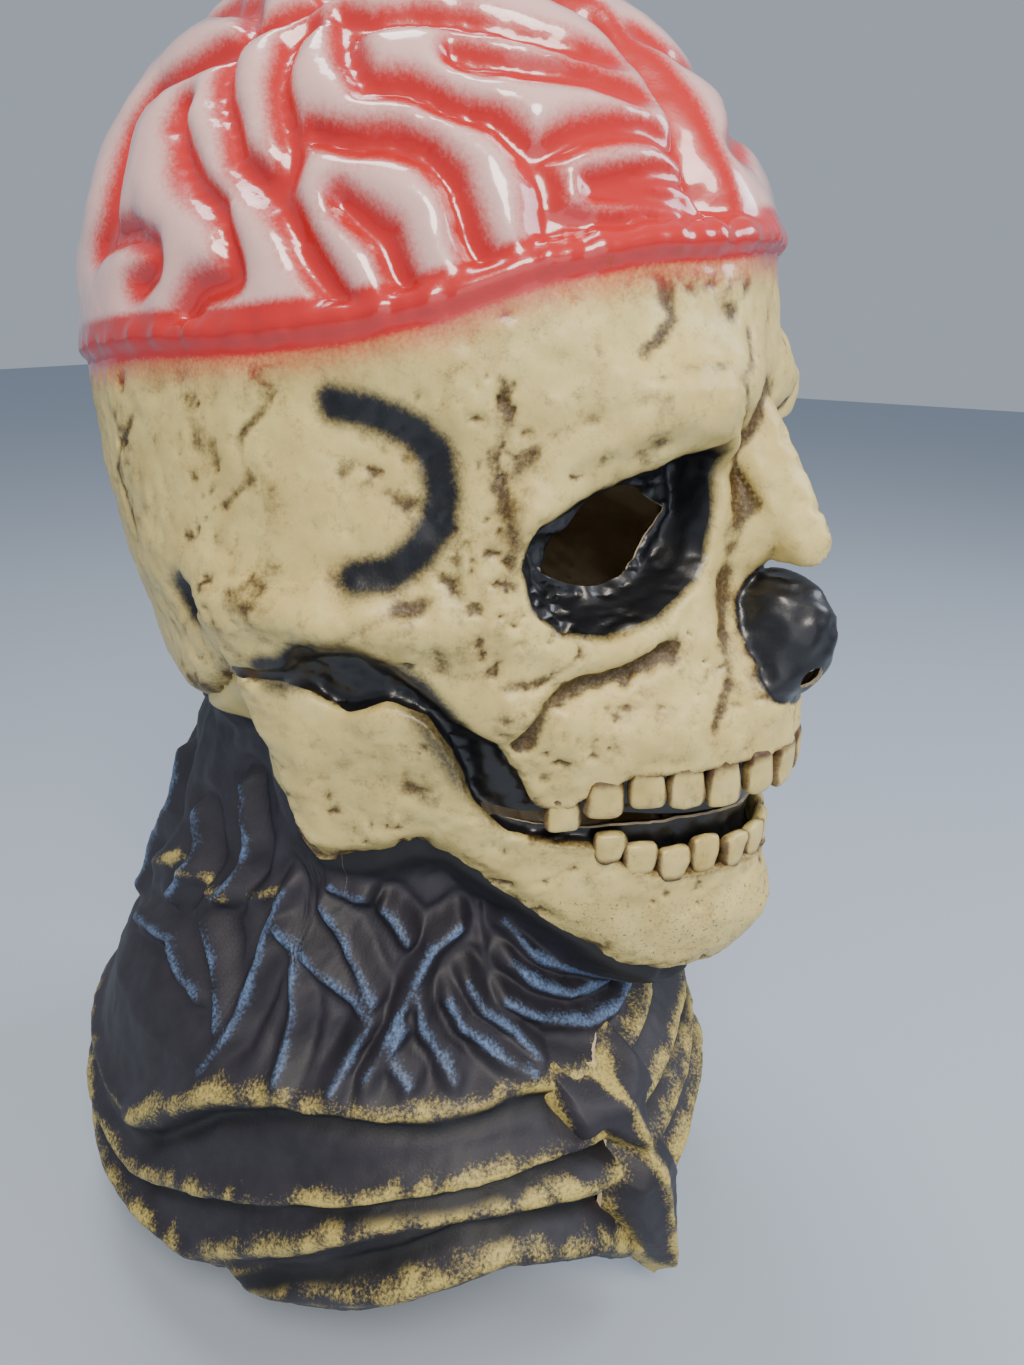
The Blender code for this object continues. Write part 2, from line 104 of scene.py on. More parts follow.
# Edges of the parts, each a height by angle.
BEAD = [(0, 91), (8, 90), (28, 87), (43, 81.5), (56, 73.5), (71, 68), (89, 64.5), (113, 62), (132, 58), (180, 51)]
SKULL_EDGE = [(0, -50), (25, -50), (31, -54), (35, -61), (39, -61), (43, -49), (47, -39), (54, -33), (63, -22),
              (72, -15), (80, -17), (86, -22), (98, -24), (110, -40), (125, -48), (180, -52)]
JAW_TOP = [(0, -87), (18, -86), (24, -82), (29, -74), (38, -72), (44, -69), (50, -60), (53, -46), (58, -33),
           (66, -29), (74, -34), (80, -31), (86, -25.5), (98, -27.5), (180, -27.5)]
JAW_BOTTOM = [(0, -139), (10, -136), (19, -126), (29, -111), (40, -97), (54, -83), (62, -83), (70, -87), (80, -91),
              (89, -91), (93, -82), (95, -60), (99, -36), (180, -36)]
BONE_FOOT = [(0, 0), (88, -80), (94, -84), (98, -70), (106, -55), (118, -48), (128, -46), (180, -30)]
COWL_TOP = [(0, -160), (30, -148), (58, -124), (83, -104), (98, -46), (108, -26), (180, -40)]
HEM = [(0, -262), (10, -256), (20, -244), (30, -226), (46, -215), (54, -219), (63, -226), (75, -236), (85, -243),
       (104, -248), (131, -251), (180, -252)]
SLIT = [(0, -71), (15, -69), (22, -68), (29, -67.5), (38, -67), (45, -64.5), (50, -62)]
SLIT_HALF = [(0, 0.9), (15, 1.0), (24, 2.6), (34, 3.0), (46, 1.2), (50, 0.8)]
JAW_END = 98.0
MOUTH_CORNER = 48.0

# Folds of the brain: lines by azimuth and rise in degrees, the same on both sides.
FOLDS = [
    [(102, 48), (101, 39), (98, 32), (93, 25), (84, 20), (79, 15), (75, 11), (71, 6)],
    [(83, 46), (87, 42), (87, 37), (84, 30), (82, 24), (82, 20)],
    [(92, 48), (104, 43), (118, 40), (127, 37), (130, 31), (128, 24), (127, 18), (130, 13)],
    [(110, 34), (111, 30), (107, 25), (101, 20), (94, 17), (92, 13), (91, 9), (98, 6), (101, 3)],
    [(130, 14), (118, 15), (110, 13), (109, 10), (115, 7)],
    [(76, 47), (73, 40), (69, 35), (60, 33), (53, 31), (47, 29), (43, 26), (41, 21), (41, 14)],
    [(79, 28), (72, 27), (64, 26), (58, 24), (54, 21), (52, 17), (51, 13), (49, 10)],
    [(71, 19), (68, 17), (64, 14), (62, 10), (60, 7)],
    [(76, 47), (70, 45), (61, 46), (51, 46), (42, 45), (34, 43), (26, 41)],
    [(52, 40), (47, 39), (42, 37), (36, 37), (30, 37), (24, 35)],
    [(41, 25), (35, 28), (29, 29), (23, 29), (18, 27)],
    [(34, 21), (29, 22), (23, 23), (16, 22)],
    [(34, 20), (28, 20), (20, 19)],
    [(40, 16), (34, 15), (26, 16), (18, 16)],
    [(92, 48), (84, 52), (70, 56), (50, 57), (30, 56), (12, 52)],
    [(102, 48), (112, 53), (124, 55), (140, 52), (150, 46)],
    [(84, 52), (92, 60), (110, 65), (135, 66), (160, 62)],
    [(50, 57), (44, 66), (40, 74), (60, 80)],
    [(150, 46), (146, 38), (150, 30), (146, 22), (150, 12), (146, 4)],
    [(150, 46), (162, 42), (172, 44)],
    [(146, 38), (158, 32), (170, 33)],
    [(150, 30), (162, 22), (172, 22)],
    [(146, 22), (158, 12), (170, 11), (174, 4)],
    [(110, 65), (120, 74), (150, 78)],
]

FAR_FOLDS = [[(6, 50), (1, 45), (-6, 42), (-18, 40)], [(2, 29), (-4, 33), (-14, 35), (-26, 33)]]

# Ridges of the neck, ribs and grooves of the bib: lines by angle and height.
NECK_RIDGES = [
    [(149, -151), (134, -144), (125, -150), (118, -152)], [(124, -131), (118, -139), (113, -148), (109, -157)],
    [(102, -109), (105, -123), (104, -132), (105, -144), (106, -157), (109, -169), (111, -178)],
    [(94, -131), (91, -143), (91, -153), (90, -160)],
    [(104, -120), (94, -125), (82, -131), (76, -135), (72, -141), (75, -148), (78, -158)],
    [(90, -110), (81, -118), (76, -127), (72, -135)], [(87, -103), (79, -104), (76, -104)],
    [(71, -108), (68, -111), (64, -117)],
    [(50, -114), (58, -120), (62, -129), (65, -137), (68, -145), (72, -156)],
    [(62, -131), (60, -142), (56, -151), (54, -156)], [(65, -142), (68, -150), (63, -156)],
    [(54, -135), (51, -143), (43, -153), (37, -158)], [(49, -131), (46, -139), (39, -148), (35, -156)],
    [(140, -100), (136, -118), (140, -132)], [(160, -90), (158, -112), (163, -130), (160, -150)],
    [(122, -80), (118, -100), (122, -120)], [(176, -80), (174, -110), (177, -140)],
    [(37, -115), (30, -128), (20, -138), (8, -143)], [(37, -128), (30, -138), (20, -147), (6, -151)],
    [(40, -139), (30, -149), (18, -156), (4, -159)],
]
OCHRE_RIDGES = [[(157, -136), (144, -120), (134, -120), (127, -124)], [(128, -122), (116, -118), (105, -111)]]
RIBS = [
    [(178, -196), (150, -205), (127, -208), (115, -187), (103, -171), (91, -165), (77, -163), (57, -165), (39, -163),
     (16, -168)],
    [(178, -214), (150, -222), (123, -223), (111, -213), (99, -204), (86, -197), (75, -191), (64, -185), (54, -181),
     (34, -181), (18, -184)],
    [(178, -232), (150, -238), (128, -242), (108, -240), (92, -221), (79, -206), (68, -194), (57, -190), (45, -190),
     (20, -198)],
    [(96, -242), (79, -225), (68, -220), (58, -212), (47, -205), (36, -212), (26, -222), (16, -240)],
]
RIB_GROOVES = [[(178, -206), (120, -209), (105, -185), (89, -172), (72, -169), (57, -168), (43, -166), (20, -173)],
               [(178, -224), (122, -232), (100, -213), (84, -199), (64, -189), (40, -185), (20, -190)],
               [(100, -246), (84, -227), (66, -211), (54, -200), (40, -200), (22, -212)]]

# Paint and cracks on the bone: lines by angle and height.
PORES = [[(48, 56), (48, 45), (47, 37), (48, 26), (47, 16), (46, 6)], [(99, 9), (97, -10), (92, -2), (86, 2)],
         [(98, 31), (101, 60)], [(118, 58), (122, 52)], [(82, 61), (84, 55)], [(26, -32), (34, -40)],
         [(36, -4), (46, 0), (52, -8)], [(8, -126), (14, -122)], [(140, 30), (146, 10)]]
TEMPLE_STRIPE = [(73, 49), (68, 48), (64, 46), (60, 43), (57, 38), (56, 29), (57, 21), (60, 14), (64, 9), (70, 7)]
RECESS = [(88, -24), (84, -23), (79, -17), (73, -16), (68, -19), (61, -26), (56, -36), (52, -48), (47, -58),
          (44, -63)]
CREVICE = [(43, -38), (40, -26), (34, -22), (27, -20), (22, -15)]
CRACKS = [[(72, -9), (69, -5), (65, -1), (61, 1), (58, 3)], [(94, 22), (88, 30), (90, 40), (84, 48)],
          [(36, -12), (40, -18), (47, -20)], [(10, 67), (12, 60), (17, 56), (14, 50), (10, 43)],
          [(48, 56), (47, 46), (49, 38), (47, 26), (46, 16), (47, 6)], [(30, 62), (24, 70), (26, 78)],
          [(150, 20), (144, 4), (150, -14), (146, -30)], [(118, 40), (126, 26), (122, 10)]]
NOSE_SIDES = [[(5, 28), (7, 14), (8, 0), (10, -12), (13, -27), (17, -36)]]
BROW_RIDGE = [(46, 22), (42, 32), (36, 40), (28, 45), (20, 45), (12, 38)]
CHEEK_RIM = [(50, 8), (47, -6), (40, -13), (31, -14), (22, -8)]
EAR_HOLE = [(107, -6), (106, -8)]

# The orbit, in its own plane: along it towards the nose, and up.
ORBIT_CENTRE = (45.0, -95.0, 14.0)
ORBIT_TURN = 36.0
ORBIT_TILT = 14.0
ORBIT = [(-30, -7), (-29, 6), (-24, 14), (-8, 18), (14, 20), (31, 20), (35, 16), (32, 2), (27, -13), (21, -18),
         (4, -21), (-12, -21), (-24, -16)]
ORBIT_DEPTH = 17.0
LID_TOP = (3.0, 21.0, 15.0)        # middle, half length and height of the arc over the cut hole
LID_FOOT = (-1.0, 20.0, 10.5)
NOSE_TIP = (0.0, -128.0, -18.0)
NOSE_HALF = (14.0, 18.5, 20.0)
NOSE_WING = (8.5, -132.0, -27.0)   # middle of the ball beside each nostril
NOSTRIL = (6.0, -27.0, 3.4)        # how far from the middle, height, radius
BIB_TURN = 17.0                    # how far the bib and the brain's middle are turned to the wearer's right
BRAIN_TURN = 13.0
BEAD_HALF = 4.6                    # half the height of the bead round the brain
ORBIT_BACK = -38.0                 # how far behind its plane an orbit still cuts
THROAT_HALF_ANGLE = 82.0
CHEST_RADIUS = 105.0
WALL_SLOPE = 0.93                  # turns distance from the axis into distance from the leaning skin

# Levels between which a feature is looked for.
BRAIN_FROM = 30
ORBIT_LEVELS = (-20, 50)
NOSE_LEVELS = (-45, 12)
NOSE_BONE_LEVELS = (0, 60)

# Teeth from the middle outwards: angle, width, height.
UPPER = [(2.9, 12.4, 16.5), (8.5, 11.2, 15.5), (13.8, 11.4, 17.5), (19.2, 11.6, 15.5), (24.6, 11.4, 14.5),
         (30.0, 11.2, 13.5), (35.0, 10.0, 12.0)]
LOWER = [(2.4, 10.2, 12.5), (7.2, 10.2, 13.0), (12.0, 10.4, 14.0), (16.9, 10.6, 12.5), (21.8, 10.6, 12.0),
         (26.6, 10.2, 11.0)]
UPPER_THICK = 6.6
LOWER_THICK = 6.0
UPPER_ROOT = 4.6                   # how far a root runs past the edge of its bone
LOWER_ROOT = 3.2


def eased(points, angles):
    """Heights of an edge at given angles, the same on both sides."""
    line = np.array(points, float)
    fine = np.linspace(0, 180, 721)
    heights = np.interp(fine, line[:, 0], line[:, 1])
    kernel = np.hanning(15)
    padded = np.pad(heights, 7, mode="reflect")
    heights = np.convolve(padded, kernel / kernel.sum(), mode="valid")
    return np.interp(np.abs(angles), fine, heights)


def smooth(value):
    """0 below 0, 1 above 1 and an S curve between."""
    share = np.clip(value, 0, 1)
    return share * share * (3 - 2 * share)


def near(lines, across, up):
    """Distance from each point to the nearest of the lines, all in the same units."""
    best = np.full(np.shape(across), 1e3)
    for line in lines:
        for (a0, b0), (a1, b1) in zip(line, line[1:]):
            run, climb = a1 - a0, b1 - b0
            length = run * run + climb * climb + 1e-9
            share = np.clip(((across - a0) * run + (up - b0) * climb) / length, 0, 1)
            best = np.minimum(best, np.hypot(across - a0 - share * run, up - b0 - share * climb))
    return best


def scaled(lines, across, up):
    return [[(a * across, b * up) for a, b in line] for line in lines]


def noise(points, size, seed):
    """Smooth random values from -1 to 1 whose lumps are about one size across."""
    lattice = np.random.default_rng(seed).uniform(-1, 1, (32, 32, 32))
    place = np.asarray(points) / size
    base = np.floor(place).astype(int)
    part = place - base
    part = part * part * (3 - 2 * part)
    total = np.zeros(len(place))
    for corner in itertools.product((0, 1), repeat=3):
        weight = np.prod(np.where(corner, part, 1 - part), axis=1)
        spot = (base + corner) % 32
        total += weight * lattice[spot[:, 0], spot[:, 1], spot[:, 2]]
    return total


def look_up(table, across, up, low, step):
    """Values of a table between its rows and columns."""
    i = np.clip((across - low[0]) / step[0], 0, table.shape[0] - 1.001)
    j = np.clip((up - low[1]) / step[1], 0, table.shape[1] - 1.001)
    i0 = i.astype(int)
    j0 = j.astype(int)
    fi = i - i0
    fj = j - j0
    lower = table[i0, j0] * (1 - fi) + table[i0 + 1, j0] * fi
    upper = table[i0, j0 + 1] * (1 - fi) + table[i0 + 1, j0 + 1] * fi
    return lower * (1 - fj) + upper * fj


def on_skin(table, angle, level):
    return look_up(table, angle, level, (-180.0, LEVEL_LOW), (ANGLE_STEP, 1.0))


def on_brain(table, azimuth, rise):
    return look_up(table, azimuth, rise, (-180.0, RISE_LOW), (ANGLE_STEP, RISE_STEP))


def reach(sections, angle, level):
    """Distance of the plain skin from the upright axis."""
    rows = np.array(sections[::-1], float)
    half, front, back, power = (np.interp(level, rows[:, 0], rows[:, k]) for k in range(1, 5))
    turn = np.radians(angle)
    length = np.where(np.abs(angle) < 90, front, back)

    def blunt(value):
        return (value * value + BLUNT * BLUNT) ** (power / 2) - BLUNT ** power

    total = blunt(np.sin(turn)) / half ** power + blunt(np.cos(turn)) / length ** power
    return total ** (-1 / power)


def hill(distance, width):
    return np.exp(-(distance / width) ** 2)


# ---- tables over angle and height -------------------------------------------------------------

A, Z = np.meshgrid(ANGLES, LEVELS, indexing="ij")
SIDE = np.abs(A)
MM_PER_DEGREE = 1.55


def skin_lines(lines, side=SIDE):
    """Distance from lines drawn on the skin."""
    return near(scaled(lines, MM_PER_DEGREE, 1), side * MM_PER_DEGREE, Z)


head_table = reach(HEAD, A, Z)
for angle, level, rise, spread, tall in BUMPS:
    head_table += rise * np.exp(-((SIDE - angle) / spread) ** 2 - ((Z - level) / tall) ** 2)
crevice = skin_lines([CREVICE])
cracks = skin_lines(CRACKS)
stripe = skin_lines([TEMPLE_STRIPE])
recess = skin_lines([RECESS])
pores = skin_lines(PORES)
ear_hole = skin_lines([EAR_HOLE])
nose_sides = skin_lines(NOSE_SIDES)
head_table += 3.4 * hill(skin_lines([BROW_RIDGE]), 5) + 2.0 * hill(skin_lines([CHEEK_RIM]), 4)
brow = skin_lines([BROW_RIDGE])
head_table += 0.45 * np.sin(1.45 * brow) * hill(brow - 8, 6) * (Z > 30)
head_table -= 5.5 * hill(crevice, 3.2) + 1.1 * hill(cracks, 1.3) + 2.2 * hill(nose_sides, 3)
head_table -= 2.2 * hill(stripe, 8) + 5.0 * hill(ear_hole, 3.5)
skull_edge = eased(SKULL_EDGE, A)
jaw_top = eased(JAW_TOP, A)
jaw_bottom = eased(JAW_BOTTOM, A)
bead_level = eased(BEAD, A)
grid_points = np.stack([SIDE.ravel() * MM_PER_DEGREE, Z.ravel(), A.ravel() * 0.2], 1)
rough = noise(grid_points, 7, 5).reshape(A.shape) * 0.55 + noise(grid_points, 18, 6).reshape(A.shape) * 0.9
head_table += rough * smooth((bead_level - Z) / 8)

for at, _, _ in UPPER:
    head_table += 2.6 * np.exp(-((SIDE - at) / 2.2) ** 2) * smooth((Z + 66) / 10) * smooth((-34 - Z) / 12)
for at, _, _ in LOWER:
    head_table += 1.4 * np.exp(-((SIDE - at) / 2.3) ** 2) * smooth((Z + 108) / 12) * smooth((-78 - Z) / 8)

in_bone = smooth((Z - skull_edge + 1.2) / 2.4)
jaw_room = np.minimum(np.minimum(jaw_top - Z, Z - jaw_bottom), (JAW_END - SIDE) * MM_PER_DEGREE)
in_jaw = smooth((jaw_room + 1.2) / 2.4)
edge_roll = 5.0 * (1 - smooth((Z - jaw_bottom) / 9)) * in_jaw * (1 - in_bone)
joined = smooth((SIDE - 81) / 5) * (1 - smooth((SIDE - 99) / 4))
bone_roll = 3.0 * (1 - smooth((Z - skull_edge) / 6)) * smooth((SIDE - 52) / 6) * (1 - joined)
mouth_web = smooth((MOUTH_CORNER + 4 - SIDE) / 8)
web_depth = (9.0 - 3.5 * mouth_web) * (1 - 0.75 * joined)
web_table = head_table - web_depth + 0.6 * (1 - mouth_web) * np.sin(1.3 * (SIDE * 0.5 - Z))
bone_share = np.maximum(in_bone, in_jaw)
gum_scallop = 2.2 * mouth_web * (hill(Z - skull_edge, 2.5) + hill(Z - jaw_top, 2.5))
ramus = smooth((SIDE - 56) / 4) * in_jaw * (1 - in_bone)
skin_table = web_table + (head_table - web_table) * bone_share - edge_roll - bone_roll * in_bone
skin_table = skin_table + gum_scallop * bone_share
skin_table -= 2.5 * ramus * (1 - joined)
skin_table -= 6.0 * smooth((Z - bead_level) / 5)

# ---- tables over azimuth and rise on the brain -------------------------------------------------

AZ, RISE = np.meshgrid(ANGLES, RISES, indexing="ij")
MM_PER_RISE = 1.78
wander = np.stack([AZ.ravel() * 1.6, RISE.ravel() * MM_PER_RISE, np.zeros(AZ.size)], 1)
warp_a = noise(wander, 16, 11).reshape(AZ.shape) * 2.0
warp_b = noise(wander, 16, 12).reshape(AZ.shape) * 1.6


def folded_side(azimuth):
    """Azimuth from the brain's own middle, a little to the wearer's right."""
    return np.where(azimuth >= BRAIN_TURN, azimuth,
                    BRAIN_TURN + (BRAIN_TURN - azimuth) * (180 - BRAIN_TURN) / (180 + BRAIN_TURN))


def fissure_across(x, y, z):
    """Distance across from the winding middle fissure."""
    return x + 20 - 6 * smooth((y + 60) / 120) + 2.0 * np.sin(z / 12.0)


def brain_lines(lines):
    """Distance in millimetres on the brain. Near the crown a degree of azimuth is shorter."""
    best = np.full(AZ.shape, 1e3)
    for line in lines:
        middle = math.cos(math.radians(min(80, sum(b for a, b in line) / len(line))))
        flat = 1.72 * max(middle, 0.2)
        across = folded_side(AZ) * flat + warp_a
        up = RISE * MM_PER_RISE + warp_b
        best = np.minimum(best, near(scaled([line], flat, MM_PER_RISE), across, up))
    return best


folds = brain_lines(FOLDS)
far_lobe = 14 * smooth((BRAIN_TURN - AZ) / 3) * (1 - smooth((BRAIN_TURN - AZ - 24) / 14))
folds = np.minimum(folds + far_lobe, near(scaled(FAR_FOLDS, 1.5, MM_PER_RISE), AZ * 1.5, RISE * MM_PER_RISE))
near_middle = 1 - 0.4 * hill(folded_side(AZ) - BRAIN_TURN, 20)
brain_table = (-3.9 * hill(folds, 3.8) - 2.0 * hill(folds, 9.0)) * near_middle
brain_table += 0.35 * noise(wander, 9, 13).reshape(AZ.shape)
brain_table += 0.5 * noise(wander, 22, 14).reshape(AZ.shape)


# ---- the head as one field ---------------------------------------------------------------------

def polygon_inside(corners, across, up):
    """Distance inside a polygon, negative outside."""
    closed = list(corners) + [corners[0]]
    distance = near([closed], across, up)
    inside = np.zeros(np.shape(across), bool)
    for (a0, b0), (a1, b1) in zip(closed, closed[1:]):
        crosses = (b0 > up) != (b1 > up)
        at = a0 + (up - b0) * (a1 - a0) / (b1 - b0 + 1e-12)
        inside ^= crosses & (across < at)
    return np.where(inside, distance, -distance)


PLANE_STEP = 0.5
PLANE_U = np.arange(-50, 50.1, PLANE_STEP)
PLANE_V = np.arange(-40, 40.1, PLANE_STEP)
PU, PV = np.meshgrid(PLANE_U, PLANE_V, indexing="ij")
orbit_inside = polygon_inside(ORBIT, PU, PV)
above = smooth((PV + 0.12 * PU + 2) / 8)
orbit_carve = ORBIT_DEPTH * smooth((orbit_inside + 1.0) / 13) ** 0.75
orbit_carve -= 3.2 * hill(orbit_inside - 9.5, 1.9) * above
orbit_carve += 1.6 * hill(orbit_inside - 6.0, 1.6) * above
orbit_carve -= 2.4 * hill(orbit_inside - 11.5, 2.0) * (1 - above)


def lid_hole(u, v):
    """How far outside the leaf-shaped hole a place in the orbit is."""
    over = v + 1.5 - LID_TOP[2] * (1 - ((u - LID_TOP[0]) / LID_TOP[1]) ** 2)
    under = -v - 1.5 - LID_FOOT[2] * (1 - ((u - LID_FOOT[0]) / LID_FOOT[1]) ** 2)
    return np.maximum(over, under)


lid_room = lid_hole(PU, PV)
orbit_carve -= 2.0 * hill(lid_room - 1.5, 2.0) * smooth((orbit_inside - 4) / 4)
orbit_carve -= 1.6 * hill(orbit_inside + 2.5, 3.0) * above


def orbit_frame(side):
    """Directions of one orbit: towards the nose, up, out."""
    turn = math.radians(ORBIT_TURN)
    tilt = math.radians(ORBIT_TILT)
    inward = np.array([-side * math.cos(turn), -math.sin(turn), 0])
    out = np.array([side * math.sin(turn), -math.cos(turn), 0])
    up = np.array([0, 0, 1.0])
    along = math.cos(tilt) * inward + math.sin(tilt) * up
    return along, math.cos(tilt) * up - math.sin(tilt) * inward, out


def in_orbit(points, side):
    """A point's place in an orbit's plane, and how far out it is."""
    centre = np.array([side * ORBIT_CENTRE[0], ORBIT_CENTRE[1], ORBIT_CENTRE[2]])
    offset = points - centre
    return [offset @ direction for direction in orbit_frame(side)]


def on_plane(table, u, v):
    return look_up(table, u, v, (-50.0, -40.0), (PLANE_STEP, PLANE_STEP))


def soft_union(one, other, width):
    share = np.clip(0.5 + 0.5 * (other - one) / width, 0, 1)
    return other * (1 - share) + one * share - width * share * (1 - share)


def polar(x, y):
    return np.degrees(np.arctan2(-x, -(y - AXIS_Y))), np.hypot(x, y - AXIS_Y)


def brain_place(x, y, z):
    """Azimuth, rise and size of the ellipsoid through a point."""
    size = np.sqrt((x / BRAIN_HALF[0]) ** 2 + ((y - AXIS_Y) / BRAIN_HALF[1]) ** 2
                   + ((z - BRAIN_LEVEL) / BRAIN_HALF[2]) ** 2) + 1e-6
    rise = np.degrees(np.arcsin(np.clip((z - BRAIN_LEVEL) / BRAIN_HALF[2] / size, -1, 1)))
    return polar(x, y)[0], rise, size


def brain_distance(x, y, z):
    """Distance from the folded brain, and from the plain ellipsoid."""
    azimuth, rise, size = brain_place(x, y, z)
    steep = np.sqrt((x / BRAIN_HALF[0] ** 2) ** 2 + ((y - AXIS_Y) / BRAIN_HALF[1] ** 2) ** 2
                    + ((z - BRAIN_LEVEL) / BRAIN_HALF[2] ** 2) ** 2) + 1e-9
    plain = size * (size - 1) / steep
    middle = fissure_across(x, y, z)
    fissure = 7.5 * hill(middle, 5.0) + 3.5 * hill(middle, 13.0)
    relief = on_brain(brain_table, azimuth, rise)
    return plain - relief + fissure, plain


def from_wing(x, y, z):
    """Distance from the middle of the nearer wing of the nose."""
    return np.hypot(np.hypot(np.abs(x) - NOSE_WING[0], y - NOSE_WING[1]), z - NOSE_WING[2])


def head_slice(x, y, z):
    """The head's field on one level: negative inside."""
    angle, distance = polar(x, y)
    skin = np.array([np.interp(z, LEVELS, row) for row in skin_table[::2]])
    d = (distance - np.interp(angle, ANGLES[::2], skin)) * WALL_SLOPE
    bead = np.interp(angle, ANGLES, bead_row)
    d = d + 400 * smooth((z - bead - 3) / 30)
    if z > BRAIN_FROM:
        folded, plain = brain_distance(x, y, z)
        d = soft_union(d, folded + 9 * (1 - smooth((z - bead + 6) / 6)), 1.2)
        ripple = 0.5 * np.sin(angle * 1.35 + 2 * np.sin(angle * 0.31)) + 0.4 * np.sin(angle * 0.77 + 1)
        roll = 3.4 + 0.8 * ripple
        tube = np.hypot(plain + 3.0, (z - bead - 0.6 * ripple) * 0.96) - roll
        d = soft_union(d, tube, 0.8)
    if ORBIT_LEVELS[0] < z < ORBIT_LEVELS[1]:
        points = np.stack([x, y, np.full(x.shape, z)], -1)
        for side in (-1, 1):
            u, v, out = in_orbit(points, side)
            carve = on_plane(orbit_carve, u, v)
            front = smooth((out + 40) / 10)
            d = d + carve * front
    if NOSE_LEVELS[0] < z < NOSE_LEVELS[1]:
        spread = [(at - tip) / half for at, tip, half in zip((x, y, z), NOSE_TIP, NOSE_HALF)]
        size = np.sqrt(sum(s * s for s in spread)) + 1e-6
        wrinkle = 0.35 * np.sin(z * 0.9 + x * 0.5) + 0.5 * np.sin(z * 0.5 - x * 0.6)
        nose = (size - 1) * 14.5 + wrinkle * smooth((z + 30) / 12) * 0.8
        wing = from_wing(x, y, z) - 7.0
        d = soft_union(d, soft_union(nose, wing, 3.0), 1.6)
    return d


def nose_bone_foot(x):
    """Height of the nose bone's lower edge, which hangs in two points over the black nose."""
    return 8.5 - 4.5 * np.exp(-((np.abs(x) - 4.5) / 3.0) ** 2) + 0.10 * np.abs(x)


def nose_bone(x, y, z):
    """The wedge of bone over the nose, with its lower edge cut into two points."""
    start = np.array([0, -112, 42.0])
    end = np.array([0, -132.5, 10.5])
    run = end - start
    t = np.clip(((y - start[1]) * run[1] + (z - start[2]) * run[2]) / (run @ run), 0, 1)
    ridge = np.hypot(y - start[1] - t * run[1], z - start[2] - t * run[2])
    ridge = (np.abs(x) ** 1.4 + ridge ** 1.4) ** (1 / 1.4)
    wedge = ridge - (11.5 - 2.0 * t)
    return np.maximum(wedge, (nose_bone_foot(x) - z) * 0.8)


bead_row = eased(BEAD, ANGLES)
xs = np.arange(-100, 100.1, VOXEL)
ys = np.arange(-158, 114.1, VOXEL)
zs = np.arange(-148, 171.1, VOXEL)
GX, GY = np.meshgrid(xs, ys, indexing="ij")
field = np.empty((len(xs), len(ys), len(zs)), np.float32)
for k, z in enumerate(zs):
    level = head_slice(GX, GY, z)
    if NOSE_BONE_LEVELS[0] < z < NOSE_BONE_LEVELS[1]:
        level = soft_union(level, nose_bone(GX, GY, z), 1.0)
    field[:, :, k] = level
grid = openvdb.FloatGrid(8.0)
grid.copyFromArray(field)
points, three, four = grid.convertToPolygons(0.0, 0.0)
del field
points = points * VOXEL + np.array([xs[0], ys[0], zs[0]])
tris = np.concatenate([np.asarray(three).reshape(-1, 3), four[:, [0, 1, 2]], four[:, [0, 2, 3]]]).astype(int)


def averages(count, tris):
    """A function that averages values over each vertex's neighbours."""
    ends = np.concatenate([tris[:, [0, 1]], tris[:, [1, 2]], tris[:, [2, 0]]])
    ends = np.concatenate([ends, ends[:, ::-1]])
    total = np.bincount(ends[:, 0], minlength=count) + 1e-9

    def average(values):
        flat = values.reshape(count, -1)
        sums = [np.bincount(ends[:, 0], weights=column[ends[:, 1]], minlength=count) for column in flat.T]
        return (np.stack(sums, 1) / total[:, None]).reshape(values.shape)

    return average


def repeated(average, values, times):
    for _ in range(times):
        values = average(values)
    return values


def vertex_normals(points, tris):
    a, b, c = (points[tris[:, k]] for k in range(3))
    face = np.cross(b - a, c - a)
    total = np.stack([sum(np.bincount(tris[:, k], weights=face[:, m], minlength=len(points)) for k in range(3))
                      for m in range(3)], 1)
    return total / (np.linalg.norm(total, axis=1, keepdims=True) + 1e-12)


def outward(points, tris):
    """Triangles turned so that they face away from the upright axis."""
    a, b, c = (points[tris[:, k]] for k in range(3))
    face = np.cross(b - a, c - a)
    middle = (a + b + c) / 3
    middle[:, 1] -= AXIS_Y
    return tris if (face * middle).sum() > 0 else tris[:, ::-1]


tris = outward(points, tris)
average = averages(len(points), tris)
for _ in range(2):
    points = points + 0.5 * (average(points) - points)


